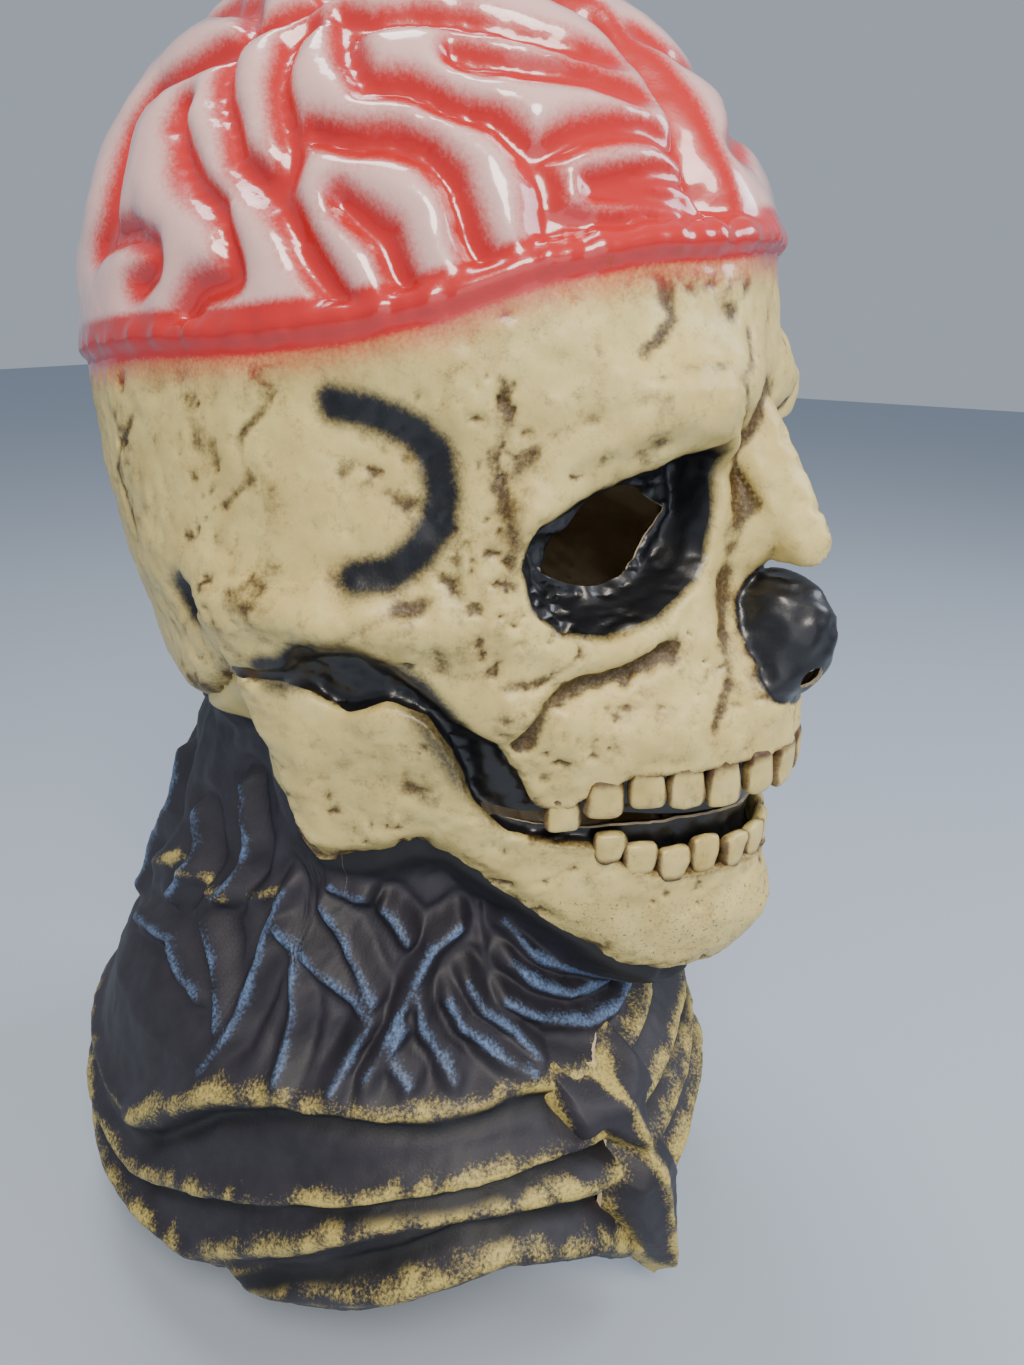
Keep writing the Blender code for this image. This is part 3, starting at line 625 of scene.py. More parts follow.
def clip(mesh, values):
    """The part of a mesh where values are above nought, cut exactly along nought.

    A mesh is its points, its triangles and the data that each point carries.
    """
    points, tris, data = mesh
    above = values > 0
    count = above[tris].sum(1)
    whole = tris[count == 3]
    cut = tris[(count == 1) | (count == 2)]
    odd = np.where(count[(count == 1) | (count == 2)][:, None] == 1, above[cut], ~above[cut]).argmax(1)
    row = np.arange(len(cut))
    a, b, c = (cut[row, (odd + k) % 3] for k in range(3))
    pairs = np.sort(np.concatenate([np.stack([a, b], 1), np.stack([a, c], 1)]), axis=1)
    edges, where = np.unique(pairs, axis=0, return_inverse=True)
    where = where.reshape(-1)
    low, high = values[edges[:, 0]], values[edges[:, 1]]
    share = (low / (low - high + 1e-12))[:, None]
    share = np.clip(share, 0.02, 0.98)
    new_points = points[edges[:, 0]] * (1 - share) + points[edges[:, 1]] * share
    new_data = data[edges[:, 0]] * (1 - share) + data[edges[:, 1]] * share
    ab = where[:len(cut)] + len(points)
    ac = where[len(cut):] + len(points)
    single = above[a]
    lone = np.stack([a, ab, ac], 1)[single]
    twin = np.concatenate([np.stack([ab, b, c], 1)[~single], np.stack([ab, c, ac], 1)[~single]])
    tris = np.concatenate([whole, lone, twin])
    points = np.concatenate([points, new_points])
    data = np.concatenate([data, new_data])
    used, packed = np.unique(tris, return_inverse=True)
    return points[used], packed.reshape(-1, 3), data[used]


# ---- data that every vertex of the head carries ------------------------------------------------

NAMES = ["nx", "ny", "nz", "ix", "iy", "iz", "angle",
         "pink", "red", "black", "wash", "speck", "blue", "ochre", "bone"]
COLUMN = {name: k for k, name in enumerate(NAMES)}


def vertex_data(normals, inward, angle, **paints):
    """One row for each vertex: its normal, the way to its inner skin, its angle and its paints."""
    data = np.zeros((len(normals), len(NAMES)))
    data[:, 0:3] = normals
    data[:, 3:6] = inward
    data[:, 6] = angle
    for name, value in paints.items():
        data[:, COLUMN[name]] = np.clip(value, 0, 1)
    return data


def nose_room(points):
    """How far inside the black nose a point is."""
    x, y, z = points.T
    size = np.sqrt((x / NOSE_HALF[0]) ** 2 + ((y - NOSE_TIP[1]) / NOSE_HALF[1]) ** 2
                   + ((z - NOSE_TIP[2]) / NOSE_HALF[2]) ** 2)
    wing = 8.4 - from_wing(x, y, z)
    return np.where(z < 9, np.maximum((1.08 - size) * 14, wing), -14.0)


def head_data(points, tris):
    """Normals, paint and painted shade of the head's vertices, after their fine relief is added."""
    average = averages(len(points), tris)
    x, y, z = points.T
    angle = polar(x, y)[0]
    azimuth, rise, _ = brain_place(x, y, z)
    bead = np.interp(angle, ANGLES, bead_row)
    on_bone = smooth((bead - 5 - z) / 4)
    normals = vertex_normals(points, tris)
    relief = 0.38 * noise(points, 3.2, 21) + 0.5 * noise(points, 6.5, 22)
    pored = hill(on_skin(pores, angle, z), 6.5)
    porous = smooth(noise(points, 16, 28) * 1.5 + 0.3) + 1.3 * pored
    porous *= 1 - smooth((nose_room(points) + 4) / 6)
    pits = np.clip(noise(points, 2.6, 23) - 0.3, 0, 1) * 2.2 * porous
    relief = (relief - pits) * on_bone + 0.10 * noise(points, 3, 24) * (1 - on_bone)
    points = points + normals * relief[:, None]
    normals = vertex_normals(points, tris)
    inner = repeated(average, normals, 12)
    inner /= np.linalg.norm(inner, axis=1, keepdims=True) + 1e-9
    hollow = repeated(average, ((average(points) - points) * normals).sum(1), 2)
    wide = ((repeated(average, points, 14) - points) * normals).sum(1)
    fold = on_brain(folds, azimuth, rise)
    fold = np.minimum(fold, np.abs(fissure_across(x, y, z)) - 4)
    red_fold = hill(np.maximum(fold, 0), 6.2)
    bead_band = hill(np.clip(np.abs(z - bead) - 3.5, 0, None), 3.4)
    overspray = hill(np.clip(bead - 4 - z, 0, None), 9) * 0.62
    brain = smooth((z - bead + 3) / 3)
    red = np.maximum(np.maximum(red_fold * brain, bead_band), overspray * (1 - brain))
    nose_red = hill(np.hypot(np.abs(x) - NOSTRIL[0] - 2, z - NOSTRIL[1]), 6) * (y < -128)
    red = np.maximum(red, 0.45 * nose_red)
    black = 0.95 * hill(np.clip(on_skin(stripe, angle, z) - 1.2, 0, None), 4.8)
    in_recess = hill(np.clip(on_skin(recess, angle, z) - 3, 0, None), 5)
    black = np.maximum(black, in_recess * (on_skin(in_bone, angle, z) * 0.3 + 0.7))
    black = np.maximum(black, hill(np.clip(on_skin(ear_hole, angle, z) - 3, 0, None), 5))
    web = (1 - on_skin(bone_share, angle, z)) * (1 - on_skin(joined, angle, z))
    black = np.maximum(black, web)
    for side in (-1, 1):
        u, v, out = in_orbit(points, side)
        black = np.maximum(black, smooth((on_plane(orbit_inside, u, v) + 2.5) / 5) * (out > ORBIT_BACK))
    black = np.maximum(black, smooth((nose_room(points) + 1.5) / 2))
    # Brown wash in the fine pits, and painted shade in the broad hollows.
    wash = np.clip(wide * 0.55, 0, 1) + np.clip(hollow * 5, 0, 0.8)
    wash += 0.55 * hill(on_skin(cracks, angle, z), 1.5) + 0.7 * hill(on_skin(crevice, angle, z), 2.8)
    wash += 0.4 * hill(on_skin(nose_sides, angle, z), 2.4)
    wash += 0.85 * hill(on_skin(skull_edge_away, angle, z), 2.8) * (np.abs(angle) < 40)
    blotch = np.clip(noise(points, 13, 25) + 0.6 * noise(points, 6, 26), 0, 1)
    wash += 0.5 * pored * np.clip(noise(points, 3.4, 29) + 0.6, 0, 1)
    # Painted shade: darker in a band above the bone's lower edge at the sides, where it rolls under.
    border = np.where(np.abs(angle) < JAW_END, z - eased(JAW_BOTTOM, angle), z - eased(SKULL_EDGE, angle))
    wash += 0.75 * hill(np.clip(border, 0, None), 8) * smooth((np.abs(angle) - 40) / 20)
    wash += 0.62 * blotch * (0.5 + np.clip(noise(points, 2.2, 27) + 0.3, 0, 1))
    wash = np.clip(wash, 0, 1) * on_bone
    speck = on_bone * (0.25 + 0.2 * hill(bead - 12 - z, 12) + 0.4 * (z < -95))
    return points, vertex_data(normals, inner, angle, pink=brain, red=red, black=black, wash=wash, speck=speck)


skull_edge_away = np.minimum(np.abs(Z - skull_edge), np.abs(Z - jaw_top))
points, data = head_data(points, tris)
head = (points, tris, data)


def heights(mesh, edge):
    """How far each vertex is above an edge."""
    return mesh[0][:, 2] - eased(edge, mesh[2][:, 6])


# ---- materials ---------------------------------------------------------------------------------

LATEX_IOR = 1.52
VARNISH_ROUGHNESS = 0.06
GRAIN_STRENGTH = 0.35


def linear(code):
    """A colour from its sRGB hex code."""
    values = [int(code[k:k + 2], 16) / 255 for k in (1, 3, 5)]
    return tuple(v / 12.92 if v <= 0.04045 else ((v + 0.055) / 1.055) ** 2.4 for v in values) + (1.0,)


def add(tree, kind, settings=(), inputs=(), links=()):
    """Adds one node, with its settings, the values of its sockets and the links into them."""
    node = tree.nodes.new(kind)
    for name, value in dict(settings).items():
        setattr(node, name, value)
    for name, value in dict(inputs).items():
        node.inputs[name].default_value = value
    for name, socket in dict(links).items():
        tree.links.new(socket, node.inputs[name])
    return node


def grain(tree, size, detail=3.0, rough=0.6):
    """Noise with lumps of one size in millimetres."""
    place = add(tree, "ShaderNodeTexCoord").outputs["Object"]
    return add(tree, "ShaderNodeTexNoise", inputs={"Scale": 1 / (size * MM), "Detail": detail, "Roughness": rough},
               links={"Vector": place}).outputs["Fac"]


def painted(tree, name, low, high, spray):
    """How much of one paint lies on each point: the vertex value broken up by the spray's speckle."""
    value = add(tree, "ShaderNodeAttribute", {"attribute_name": name}).outputs["Fac"]
    speckle = add(tree, "ShaderNodeMath", {"operation": "MULTIPLY_ADD"}, {1: spray, 2: -0.5 * spray},
                  {0: grain(tree, 1.1, 4.0, 0.7)}).outputs[0]
    total = add(tree, "ShaderNodeMath", {"operation": "ADD"}, links={0: value, 1: speckle}).outputs[0]
    return add(tree, "ShaderNodeMapRange", {"interpolation_type": "SMOOTHSTEP"}, {"From Min": low, "From Max": high},
               {"Value": total}).outputs[0]


def mixed(tree, share, one, other):
    """A colour or number between two, each a value or a socket."""
    is_colour = isinstance(other, tuple)
    node = add(tree, "ShaderNodeMix", {"data_type": "RGBA" if is_colour else "FLOAT"}, links={0: share})
    first, second = (6, 7) if is_colour else (2, 3)
    for slot, value in ((first, one), (second, other)):
        if isinstance(value, (tuple, float)):
            node.inputs[slot].default_value = value
        else:
            tree.links.new(value, node.inputs[slot])
    return node.outputs[2 if is_colour else 0]


def latex(name, base, mottle, roughness, coat, paints, bump_mm, stain=None):
    """Cast latex under sprayed and brushed paint.

    A paint is its attribute, colour, roughness and coat, the low and high ends of its edge, and its spray's speckle.
    """
    material = bpy.data.materials.new(name)
    material.use_nodes = True
    tree = material.node_tree
    shader = tree.nodes["Principled BSDF"]
    patches = add(tree, "ShaderNodeMapRange", {}, {"From Min": 0.35, "From Max": 0.7},
                  {"Value": grain(tree, 14.0, 5.0)}).outputs[0]
    tint = mixed(tree, patches, linear(base), linear(mottle))
    if stain:
        blots = add(tree, "ShaderNodeMapRange", {"interpolation_type": "SMOOTHSTEP"},
                    {"From Min": 0.50, "From Max": 0.74, "To Max": 0.75},
                    {"Value": grain(tree, 6.0, 9.0, 0.82)}).outputs[0]
        tint = mixed(tree, blots, tint, linear(stain))
    shine, varnish = roughness, coat
    shine_varies = any(paint[2] != roughness for paint in paints)
    varnish_varies = any(paint[3] != coat for paint in paints)
    for attribute, colour, rough, wet, low, high, spray in paints:
        share = painted(tree, attribute, low, high, spray)
        tint = mixed(tree, share, tint, linear(colour))
        shine = mixed(tree, share, shine, rough) if shine_varies else shine
        varnish = mixed(tree, share, varnish, wet) if varnish_varies else varnish
    bump = add(tree, "ShaderNodeBump", {}, {"Strength": GRAIN_STRENGTH, "Distance": bump_mm * MM},
               {"Height": grain(tree, 0.9, 3.0)})
    for socket, value in (("Base Color", tint), ("Roughness", shine), ("Coat Weight", varnish),
                          ("Normal", bump.outputs[0])):
        if isinstance(value, float):
            shader.inputs[socket].default_value = value
        else:
            tree.links.new(value, shader.inputs[socket])
    shader.inputs["IOR"].default_value = LATEX_IOR
    shader.inputs["Coat Roughness"].default_value = VARNISH_ROUGHNESS
    return material


# The head's paints in the order they go on, each feathered and speckled at its edge by the airbrush.
HEAD_PAINTS = [
    # The first layer is brown wash in the pits, cracks and blots, with painted shade in the broad hollows and along
    # the bone's lower edge.
    ("wash", "#46300f", 0.55, 0.0, 0.2, 1.15, 0.85),
    ("speck", "#3a2a1e", 0.55, 0.0, 0.70, 0.88, 1.1),
    ("pink", "#e8b9b0", 0.22, 1.0, 0.3, 0.7, 0.3),
    ("red", "#c41f1b", 0.26, 0.9, 0.15, 0.85, 0.5),
    ("black", "#111114", 0.36, 0.15, 0.18, 0.9, 0.45),
]
NECK_PAINTS = [
    ("blue", "#6c86ab", 0.55, 0.0, 0.45, 1.5, 1.7),
    ("ochre", "#c2ad5c", 0.55, 0.0, 0.5, 1.15, 1.5),
    # The black layer here is painted shade in the rib grooves and under the jaw.
    ("black", "#0f0e11", 0.6, 0.0, 0.3, 0.9, 0.4),
    ("bone", "#d2bd78", 0.42, 0.0, 0.3, 0.8, 0.5),
]
# On the teeth the same layer is brown at the root and painted shade down the sides.
TOOTH_PAINTS = [("wash", "#4c3218", 0.5, 0.0, 0.2, 1.0, 0.4)]

# Bone: latex painted cream, blotted with tan, washed in thin brown that settles in the pits, given painted shade in
# the broad hollows and along its lower edge, and spattered.
# The eye gets dry, porous old bone with a dull sheen.
bone_latex = latex("bone painted latex", "#dfca80", "#cbb26a", 0.42, 0.0, HEAD_PAINTS, 0.25, "#6a5028")

# Brain: pink paint, red fogged into the folds, then a thick clear varnish.
# The eye gets wet flesh with small sharp highlights.
pink_latex = latex("wet pink painted latex", "#e8b9b0", "#e3a9a2", 0.24, 1.0, HEAD_PAINTS[2:], 0.10)

# Bead round the brain: blood red paint under the same varnish. The eye gets a raw, wet seam.
red_latex = latex("wet red painted latex", "#c41f1b", "#a0120f", 0.28, 1.0, HEAD_PAINTS[2:], 0.15)

# Orbits, nose, gums and cheeks: black rubber paint, brushed on and left satin.
# The eye gets deep hollows with a faint sheen along their folds.
black_latex = latex("black satin painted latex", "#131317", "#1b1b20", 0.32, 0.15, HEAD_PAINTS, 0.15)

# Teeth: cream paint blotted with tan, with brown drawn in at the root and painted shade down the sides.
# The eye gets old, stained, slightly waxy teeth.
tooth_latex = latex("cream tooth paint", "#d6c27c", "#bfa75f", 0.36, 0.0, TOOTH_PAINTS, 0.12, "#7a5f30")

# Neck, bib and breastbone: matt dark grey paint, with near-black painted shade in the grooves and under the jaw, dry
# brushed with blue on the ridges and ochre on the ribs. The eye gets dried flesh whose raised parts catch the light.
neck_latex = latex("dark grey matt painted latex", "#1e1b21", "#2c2830", 0.58, 0.0, NECK_PAINTS, 0.35)

# Inside: latex as it leaves the mould, with no paint. The eye gets plain matt tan through the holes.
raw_latex = latex("unpainted latex inside", "#cdb892", "#bfa67c", 0.6, 0.0, [], 0.2)


# ---- pieces ------------------------------------------------------------------------------------

def to_row(points):
    return (points + np.array([0, 0, EAR_LEVEL / MM])) * MM


def shell(name, mesh, material, nodes, thickness=SKIN):
    """A closed piece of latex: the outer skin, the same skin moved in, and a rim between them."""
    points, tris, data = mesh
    count = len(points)
    inside = points - data[:, 3:6] * thickness
    ends = np.concatenate([tris[:, [0, 1]], tris[:, [1, 2]], tris[:, [2, 0]]])
    keys = ends[:, 0] * count + ends[:, 1]
    back = ends[:, 1] * count + ends[:, 0]
    rim = ends[~np.isin(keys, back)]
    rim_tris = np.concatenate([np.stack([rim[:, 1], rim[:, 0], rim[:, 0] + count], 1),
                               np.stack([rim[:, 1], rim[:, 0] + count, rim[:, 1] + count], 1)])
    faces = np.concatenate([tris, tris[:, ::-1] + count, rim_tris])
    outer_normals = data[:, :3] / (np.linalg.norm(data[:, :3], axis=1, keepdims=True) + 1e-9)
    obj = make_object(name, np.concatenate([points, inside]), faces, np.concatenate([outer_normals, -outer_normals]))
    obj.data.materials.append(material)
    obj.data.materials.append(raw_latex)
    kinds = np.zeros(len(faces), np.int32)
    kinds[len(tris):] = 1
    obj.data.polygons.foreach_set("material_index", kinds)
    for paint in NAMES[NAMES.index("pink"):]:
        values = data[:, COLUMN[paint]]
        if values.max() > 0:
            layer = obj.data.attributes.new(paint, "FLOAT", "POINT")
            layer.data.foreach_set("value", np.concatenate([values, values]).astype(np.float32))
    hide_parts(*nodes)
    return obj


def make_object(name, points, faces, normals=None):
    mesh = bpy.data.meshes.new(name)
    mesh.from_pydata(to_row(points).tolist(), [], faces.tolist())
    mesh.update()
    mesh.polygons.foreach_set("use_smooth", np.ones(len(faces), bool))
    if normals is not None:
        mesh.normals_split_custom_set_from_vertices(normals.tolist())
    obj = bpy.data.objects.new(name, mesh)
    bpy.context.scene.collection.objects.link(obj)
    return obj


def cut_away(mesh, values):
    """The mesh in two: where values are above nought, and the rest."""
    return clip(mesh, values), clip(mesh, -values)


# The brain and its bead come off the top.
brain, rest = cut_away(head, heights(head, BEAD) - BEAD_HALF)
seam, rest = cut_away(rest, heights(rest, BEAD) + BEAD_HALF)
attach(shell("brain", brain, pink_latex, ["brain_cap"]), "skull")
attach(shell("brain_bead", seam, red_latex, ["brain_seam"]), "skull")

# The skull's shell is what is above its edge. The orbits and the nose are cut from it.
bone, rest = cut_away(rest, heights(rest, SKULL_EDGE))
for side, side_name in ((-1, "right"), (1, "left")):
    u, v, out = in_orbit(bone[0], side)
    inside = np.where(out > ORBIT_BACK, on_plane(orbit_inside, u, v) - 1.0, -5.0)
    orbit, bone = cut_away(bone, inside)
    u, v, _ = in_orbit(orbit[0], side)
    orbit = clip(orbit, lid_hole(u, v))
    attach(shell(f"orbit_{side_name}", orbit, black_latex, [f"eye_socket_{side_name}"]), "skull")
nose, bone = cut_away(bone, nose_room(bone[0]))
x, y, z = nose[0].T
hole = np.hypot(np.abs(x) - NOSTRIL[0], z - NOSTRIL[1]) - NOSTRIL[2]
nose = clip(nose, np.where(y < -120, hole, 5.0))
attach(shell("nose", nose, black_latex, ["nose_cavity"]), "skull")
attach(shell("skull_bone", bone, bone_latex, ["skull_shell"]), "skull")

# Below it are the jaw, and the black web between the two.
rest = clip(rest, (JAW_END - np.abs(rest[2][:, 6])) * MM_PER_DEGREE)
web, rest = cut_away(rest, heights(rest, JAW_TOP))
jaw = clip(rest, heights(rest, JAW_BOTTOM))
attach(shell("jaw_bone", jaw, bone_latex, ["lower_jaw"]), "jaw")
lips, webs = cut_away(web, (MOUTH_CORNER - np.abs(web[2][:, 6])) * MM_PER_DEGREE)
for side, side_name in ((1, "right"), (-1, "left")):
    cheek = clip(webs, webs[2][:, 6] * side)
    piece = shell(f"cheek_{side_name}", cheek, black_latex, [f"cheek_web_{side_name}"])
    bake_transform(piece)
half = np.interp(np.abs(lips[2][:, 6]), *np.array(SLIT_HALF).T)
upper = clip(lips, heights(lips, SLIT) - half)
lower = clip(lips, -heights(lips, SLIT) - half)
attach(shell("gum_upper", upper, black_latex, ["upper_lip"]), "skull")
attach(shell("gum_lower", lower, black_latex, ["lower_lip"]), "jaw")


# ---- teeth -------------------------------------------------------------------------------------

def tooth_form(width, height, thick, seed):
    """A tooth's points: a rounded block, narrower at its root, with its front bulging. Root up."""
    rng = np.random.default_rng(seed)
    steps = 12
    rings = 14
    points = []
    faces = []
    for ring in range(rings + 1):
        t = ring / rings
        level = height * (0.5 - t)
        close = (1 - (2 * t - 1) ** 6) ** 0.5 if ring not in (0, rings) else 0.05
        wide = width * 0.5 * (0.80 + 0.24 * smooth(t * 1.25) - 0.05 * t) * max(close, 0.05)
        deep = thick * 0.5 * (1.05 - 0.35 * t) * max(close, 0.05)
        for step in range(steps * 2):
            turn = math.pi * step / steps
            c, s = math.cos(turn), math.sin(turn)
            a = math.copysign(abs(c) ** 0.75, c) * wide
            b = math.copysign(abs(s) ** 0.75, s) * deep
            points.append((a, b, level))
    around = steps * 2
    for ring in range(rings):
        for step in range(around):
            a = ring * around + step
            b = ring * around + (step + 1) % around
            faces.append((a, a + around, b + around))
            faces.append((a, b + around, b))
    for ring, flip in ((0, False), (rings, True)):
        base = ring * around
        for step in range(1, around - 1):
            face = (base, base + step, base + step + 1)
            faces.append(face[::-1] if flip else face)
    points = np.array(points)
    points[:, 0] += 0.55 * rng.uniform(-1, 1) * points[:, 2] / 6
    points[:, 2] *= 1 + 0.06 * rng.uniform(-1, 1)
    points[:, 1] += 0.35 * rng.uniform(-1, 1)
    points += (0.5 * noise(points + seed * 31, 3.6, seed % 7))[:, None] * np.array([1, 1, 0])
    points[:, 0] *= 1.04 + 0.05 * rng.uniform(-1, 1)
    return points, np.array(faces)


def place_tooth(name, node, body, angle, level, width, height, thick, root_up, seed):
    form, faces = tooth_form(width, height, thick, seed)
    root = form[:, 2] / height + 0.5
    if not root_up:
        form = form * np.array([-1, 1, -1])
    sits = float(on_skin(head_table, np.array([angle]), np.array([level]))[0]) - 1.4
    ahead = float(on_skin(head_table, np.array([angle + 2]), np.array([level]))[0])
    behind = float(on_skin(head_table, np.array([angle - 2]), np.array([level]))[0])

    def at(turned, distance):
        turn = math.radians(turned)
        return np.array([-distance * math.sin(turn), AXIS_Y - distance * math.cos(turn), 0])

    along = at(angle + 2, ahead) - at(angle - 2, behind)
    along /= np.linalg.norm(along)
    out = np.array([along[1], -along[0], 0])
    centre = at(angle, sits) + np.array([0, 0, level])
    out = out if out @ (centre - np.array([0, AXIS_Y, level])) > 0 else -out
    lean = form[:, 2] / height * (0.9 if root_up else -0.9)
    points = centre + form[:, :1] * along + (form[:, 1:2] - lean[:, None]) * out + form[:, 2:3] * np.array([0, 0, 1])
    a, b, c = (points[faces[:, k]] for k in range(3))
    if (np.cross(b - a, c - a) * ((a + b + c) / 3 - centre)).sum() < 0:
        faces = faces[:, ::-1]
    obj = make_object(name, points, faces)
    obj.data.materials.append(tooth_latex)
    # Brown at the root, and painted shade down the sides where each tooth meets its neighbour.
    stain = np.clip(1.35 * (root - 0.62) / 0.38, 0, 1) + 0.8 * smooth((np.abs(form[:, 0]) / width - 0.33) / 0.12)
    layer = obj.data.attributes.new("wash", "FLOAT", "POINT")
    layer.data.foreach_set("value", np.clip(stain, 0, 1).astype(np.float32))
    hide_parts(node)
    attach(obj, body)


for side, side_name in ((1, "right"), (-1, "left")):
    for number, (angle, width, height) in enumerate(UPPER, 1):
        gum = float(eased(SKULL_EDGE, angle))
        place_tooth(f"tooth_upper_{side_name}_{number}", f"upper_tooth_{side_name}_{number}", "skull",
                    side * angle, gum - height / 2 + UPPER_ROOT, width, height, UPPER_THICK, True, 10 * number + side)
    for number, (angle, width, height) in enumerate(LOWER, 1):
        gum = float(eased(JAW_TOP, angle))
        place_tooth(f"tooth_lower_{side_name}_{number}", f"lower_tooth_{side_name}_{number}", "jaw",
                    side * angle, gum + height / 2 - LOWER_ROOT, width, height, LOWER_THICK, False,
                    200 + 10 * number + side)


# ---- the bib and throat ------------------------------------------------------------------------

def upright(angle, radius, level):
    """Points from their angle, distance from the upright axis and level."""
    turn = np.radians(angle)
    return np.stack([-radius * np.sin(turn), AXIS_Y - radius * np.cos(turn), level], 1)


def grid_faces(rows, wide, closed=False):
    """Two triangles for each cell of a grid of points, which may close on itself across."""
    i, j = np.meshgrid(np.arange(rows - 1), np.arange(wide if closed else wide - 1), indexing="ij")
    a, b = (i * wide + j).ravel(), (i * wide + (j + 1) % wide).ravel()
    return np.concatenate([np.stack([a, b, b + wide], 1), np.stack([a, b + wide, a + wide], 1)])


def turned_side(angle, level):
    """Angle from the bib's own middle, which hangs turned to the wearer's right below the throat."""
    middle = BIB_TURN * smooth((-148 - level) / 22)
    return np.where(angle >= middle, angle, middle + (middle - angle) * (180 - middle) / (180 + middle))


BIB_SIDE = turned_side(A, Z)
ridges = skin_lines(NECK_RIDGES, BIB_SIDE)
ochres = skin_lines(OCHRE_RIDGES, BIB_SIDE)
ribs = skin_lines(RIBS, BIB_SIDE)
rib_grooves = skin_lines(RIB_GROOVES, BIB_SIDE)
neck_table = reach(NECK, A, Z)
bib_points = np.stack([BIB_SIDE.ravel() * MM_PER_DEGREE, Z.ravel(), A.ravel() * 0.2], 1)
strands = noise(np.stack([BIB_SIDE.ravel() * 1.4 + Z.ravel() * 0.25, Z.ravel() * 0.35, A.ravel() * 0.05], 1), 7, 31)
strands = strands.reshape(A.shape)
wrinkled = smooth((Z + 172) / 14)
neck_table += (4.6 * hill(ridges, 3.6) - 2.4 * hill(ridges - 7.5, 3.2) + 2.6 * hill(ochres, 3.4)) * wrinkled
neck_table += 1.1 * strands * wrinkled
neck_table += 6.0 * hill(ribs, 5.5) - 4.2 * hill(rib_grooves, 3.6) + 0.5 * noise(bib_points, 9, 33).reshape(A.shape)
hem_edge = eased(HEM, BIB_SIDE)
neck_table += 2.2 * hill(Z - hem_edge - 5, 5) - 1.2 * hill(Z - hem_edge - 13, 3)
outer_edge = np.where(np.abs(A) < JAW_END, jaw_bottom, skull_edge)
edge_reach = np.array([np.interp(outer_edge[i, 0] + 7, LEVELS, head_table[i]) for i in range(len(ANGLES))])[:, None]
tucked = edge_reach - 6.5
turned_in = smooth((outer_edge - 1 - Z) / 15)
neck_skin = tucked + (neck_table - tucked) * turned_in

behind_jaw = smooth((np.abs(A) - 86) / 6) * (1 - smooth((np.abs(A) - 99) / 16)) * smooth((Z + 102) / 16)
neck_skin = neck_skin + (np.minimum(head_table - 5.5, neck_skin + 30) - neck_skin) * behind_jaw

columns = np.arange(-180, 180, 1.0)
row_count = 128
top = np.where(np.abs(columns) < JAW_END, eased(JAW_BOTTOM, columns), eased(SKULL_EDGE, columns)) + 5.0
top = np.convolve(np.pad(top, 4, mode="wrap"), np.ones(9) / 9, mode="valid")
bottom = eased(HEM, turned_side(columns, np.full(columns.shape, -250.0)))
share_down = np.linspace(0, 1, row_count)[:, None]
neck_z = top + (bottom - top) * share_down
neck_a = np.broadcast_to(columns, neck_z.shape)
neck_angle, neck_level = neck_a.ravel(), neck_z.ravel()
neck_points = upright(neck_angle, on_skin(neck_skin, neck_angle, neck_level), neck_level)
neck_tris = outward(neck_points, grid_faces(row_count, len(columns), closed=True))
normals = vertex_normals(neck_points, neck_tris)
neck_points = neck_points + normals * (0.3 * noise(neck_points, 3.0, 41))[:, None]
normals = vertex_normals(neck_points, neck_tris)
average = averages(len(neck_points), neck_tris)
inner = repeated(average, normals, 10)
inner /= np.linalg.norm(inner, axis=1, keepdims=True)
brushed = noise(neck_points, 9, 42) * 0.25
streaks = noise(neck_points * np.array([1, 1, 0.4]), 4, 43) * 0.3
on_rib = hill(on_skin(ribs, neck_angle, neck_level), 6.0)
on_hem = hill(neck_level - on_skin(hem_edge, neck_angle, neck_level) - 4, 4.5)
blue = np.clip(hill(on_skin(ridges, neck_angle, neck_level), 2.3) + brushed + streaks - 0.05, 0, 1)
blue *= smooth((neck_level + 176) / 8)
back_neck = smooth((np.abs(neck_angle) - 100) / 20) * smooth((neck_level + 165) / 20)
on_ochre = hill(on_skin(ochres, neck_angle, neck_level), 3)
ochre = (np.maximum(np.maximum(on_rib, 0.8 * on_hem), on_ochre) * 0.85 + brushed + streaks - 0.08
         + 0.3 * back_neck * streaks)
# Painted shade: near black in the rib grooves and where the neck tucks in under the jaw and skull.
deep = np.maximum(hill(on_skin(rib_grooves, neck_angle, neck_level), 4),
                  1 - on_skin(turned_in, neck_angle, neck_level))
bone_foot = np.interp(np.abs(neck_angle), *np.array(BONE_FOOT, float).T)
bone_paint = smooth((neck_level - bone_foot + 3) / 7) * smooth((np.abs(neck_angle) - 88) / 4)
data = vertex_data(normals, inner, neck_angle, blue=blue, ochre=ochre, black=deep, bone=bone_paint)
neck = (neck_points, neck_tris, data)
throat, cowl = cut_away(neck, np.minimum(heights(neck, COWL_TOP), (THROAT_HALF_ANGLE - np.abs(neck_angle)) * 1.4))
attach(shell("bib", cowl, neck_latex, ["neck_cowl"]), "skull")
piece = shell("throat", throat, neck_latex, ["throat_skin"])
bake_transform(piece)


# ---- the breastbone ----------------------------------------------------------------------------

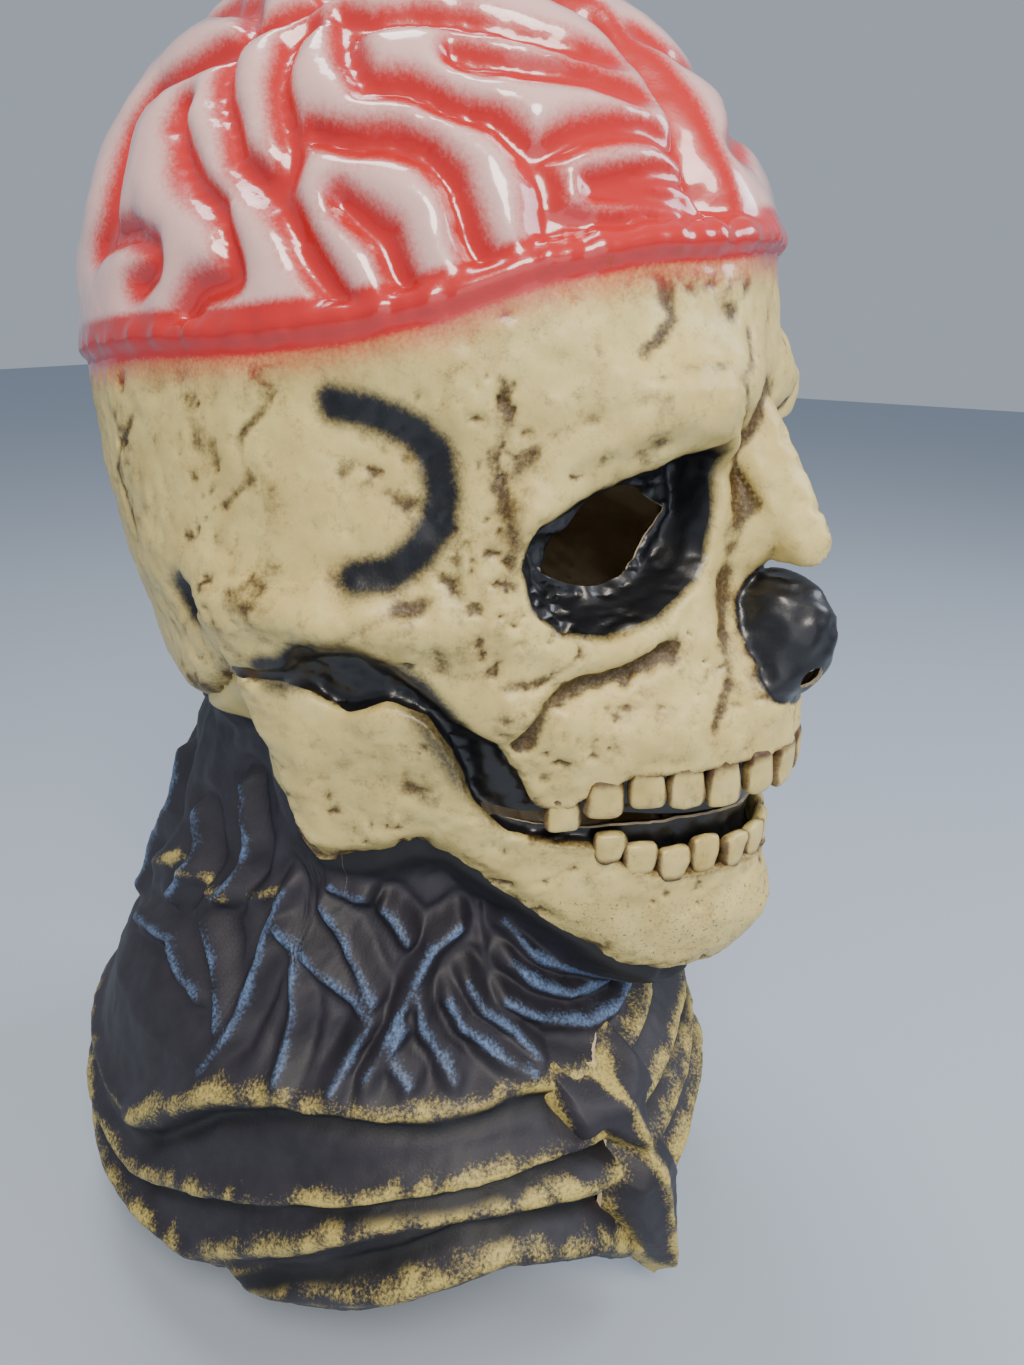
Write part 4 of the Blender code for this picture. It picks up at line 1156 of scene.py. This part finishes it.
STERNUM = [(0, -164), (9, -162), (20, -156), (24, -168), (22, -184), (12, -182), (7, -190), (14, -197), (18, -212),
           (14, -232), (8, -252), (0, -270)]
STERNUM_STEP = 0.8
TIP_ANGLE = 10.0
outline = STERNUM + [(-a, b) for a, b in STERNUM[-2:0:-1]]
sx = np.arange(-27, 27.1, STERNUM_STEP)
sz = np.arange(-274, -152, STERNUM_STEP)
SX, SZ = np.meshgrid(sx, sz, indexing="ij")
room = polygon_inside(outline, SX, SZ)
lean = BIB_TURN + 4 + (SZ + 178) * (BIB_TURN + 4 - TIP_ANGLE) / 85
sternum_angle = lean + SX / CHEST_RADIUS * 180 / math.pi
facets = 11.0 * smooth((room + 1.5) / 9) - 0.25 * np.abs(SX) + 2.0 * hill(SX, 2.5)
facets += 0.5 * noise(np.stack([SX.ravel(), SZ.ravel(), SX.ravel() * 0], 1), 5, 51).reshape(SX.shape)
facets -= 2.5 * hill(SZ + 190, 3.0)
plain = reach(NECK, sternum_angle, SZ)
radius = (plain + 3.0 + facets).ravel()
sternum_points = upright(sternum_angle.ravel(), radius, SZ.ravel())
sternum_tris = outward(sternum_points, grid_faces(len(sx), len(sz)))
paint = 0.95 * hill(SX, 3.5) + 0.8 * hill(room - 1.5, 3.2) + 0.3 * noise(sternum_points, 6, 52).reshape(SX.shape)
level_outward = upright(sternum_angle.ravel(), 1.0, SZ.ravel() * 0) - np.array([0, AXIS_Y, 0])
data = vertex_data(vertex_normals(sternum_points, sternum_tris), level_outward, sternum_angle.ravel(),
                   ochre=paint.ravel())
sternum = clip((sternum_points, sternum_tris, data), room.ravel())
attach(shell("sternum", sternum, neck_latex, ["breastbone"], 4.0), "skull")


# ---- stage, light and camera -------------------------------------------------------------------

def flat_material(name, code, roughness):
    """One colour and one roughness all over."""
    material = bpy.data.materials.new(name)
    material.use_nodes = True
    shader = material.node_tree.nodes["Principled BSDF"]
    shader.inputs["Base Color"].default_value = linear(code)
    shader.inputs["Roughness"].default_value = roughness
    return material


bpy.ops.mesh.primitive_plane_add(size=8, location=(0, 0, cad_low[2]))
floor = bpy.context.object
floor.name = "floor"
# Floor: a pale matt board that only takes the shadow.
floor.data.materials.append(flat_material("pale studio floor", "#aeb8c4", 0.8))


def area_light(name, place, target, size, power, colour):
    """A round soft light that faces its target."""
    light = bpy.data.lights.new(name, "AREA")
    light.shape = "DISK"
    light.size = size
    light.energy = power
    light.color = linear(colour)[:3]
    obj = bpy.data.objects.new(name, light)
    bpy.context.scene.collection.objects.link(obj)
    obj.location = place
    obj.rotation_euler = (Vector(target) - Vector(place)).to_track_quat("-Z", "Y").to_euler()


MIDDLE = (0, 0, -0.2)
area_light("key", (-0.75, -0.55, 0.75), MIDDLE, 0.55, 17, "#fff6ea")
area_light("window", (0.55, -1.1, 0.55), MIDDLE, 0.7, 11, "#eef4ff")
area_light("top", (0.1, 0.3, 1.2), MIDDLE, 0.6, 9, "#ffffff")
area_light("low_fill", (-1.0, -0.9, -0.1), MIDDLE, 1.2, 4, "#f2f6ff")
world = bpy.data.worlds.new("studio")
bpy.context.scene.world = world
world.use_nodes = True
world.node_tree.nodes["Background"].inputs["Color"].default_value = linear("#c9d3e2")
world.node_tree.nodes["Background"].inputs["Strength"].default_value = 0.6

RIGHT = Vector((0.4396, -0.8979, 0.0223))
UP = Vector((0.3177, 0.1787, 0.9312))
LENS_MM = 25.98
CAMERA_PLACE = (-0.28419, -0.17877, EAR_LEVEL + 0.07369)
camera_data = bpy.data.cameras.new("camera")
camera_data.lens = LENS_MM
camera = bpy.data.objects.new("camera", camera_data)
bpy.context.scene.collection.objects.link(camera)
aim = RIGHT.cross(UP).normalized()
across = UP.cross(aim).normalized()
camera.matrix_world = Matrix.Translation(CAMERA_PLACE) @ Matrix(
    (across, UP.normalized(), aim)).transposed().to_4x4()
bpy.context.scene.camera = camera
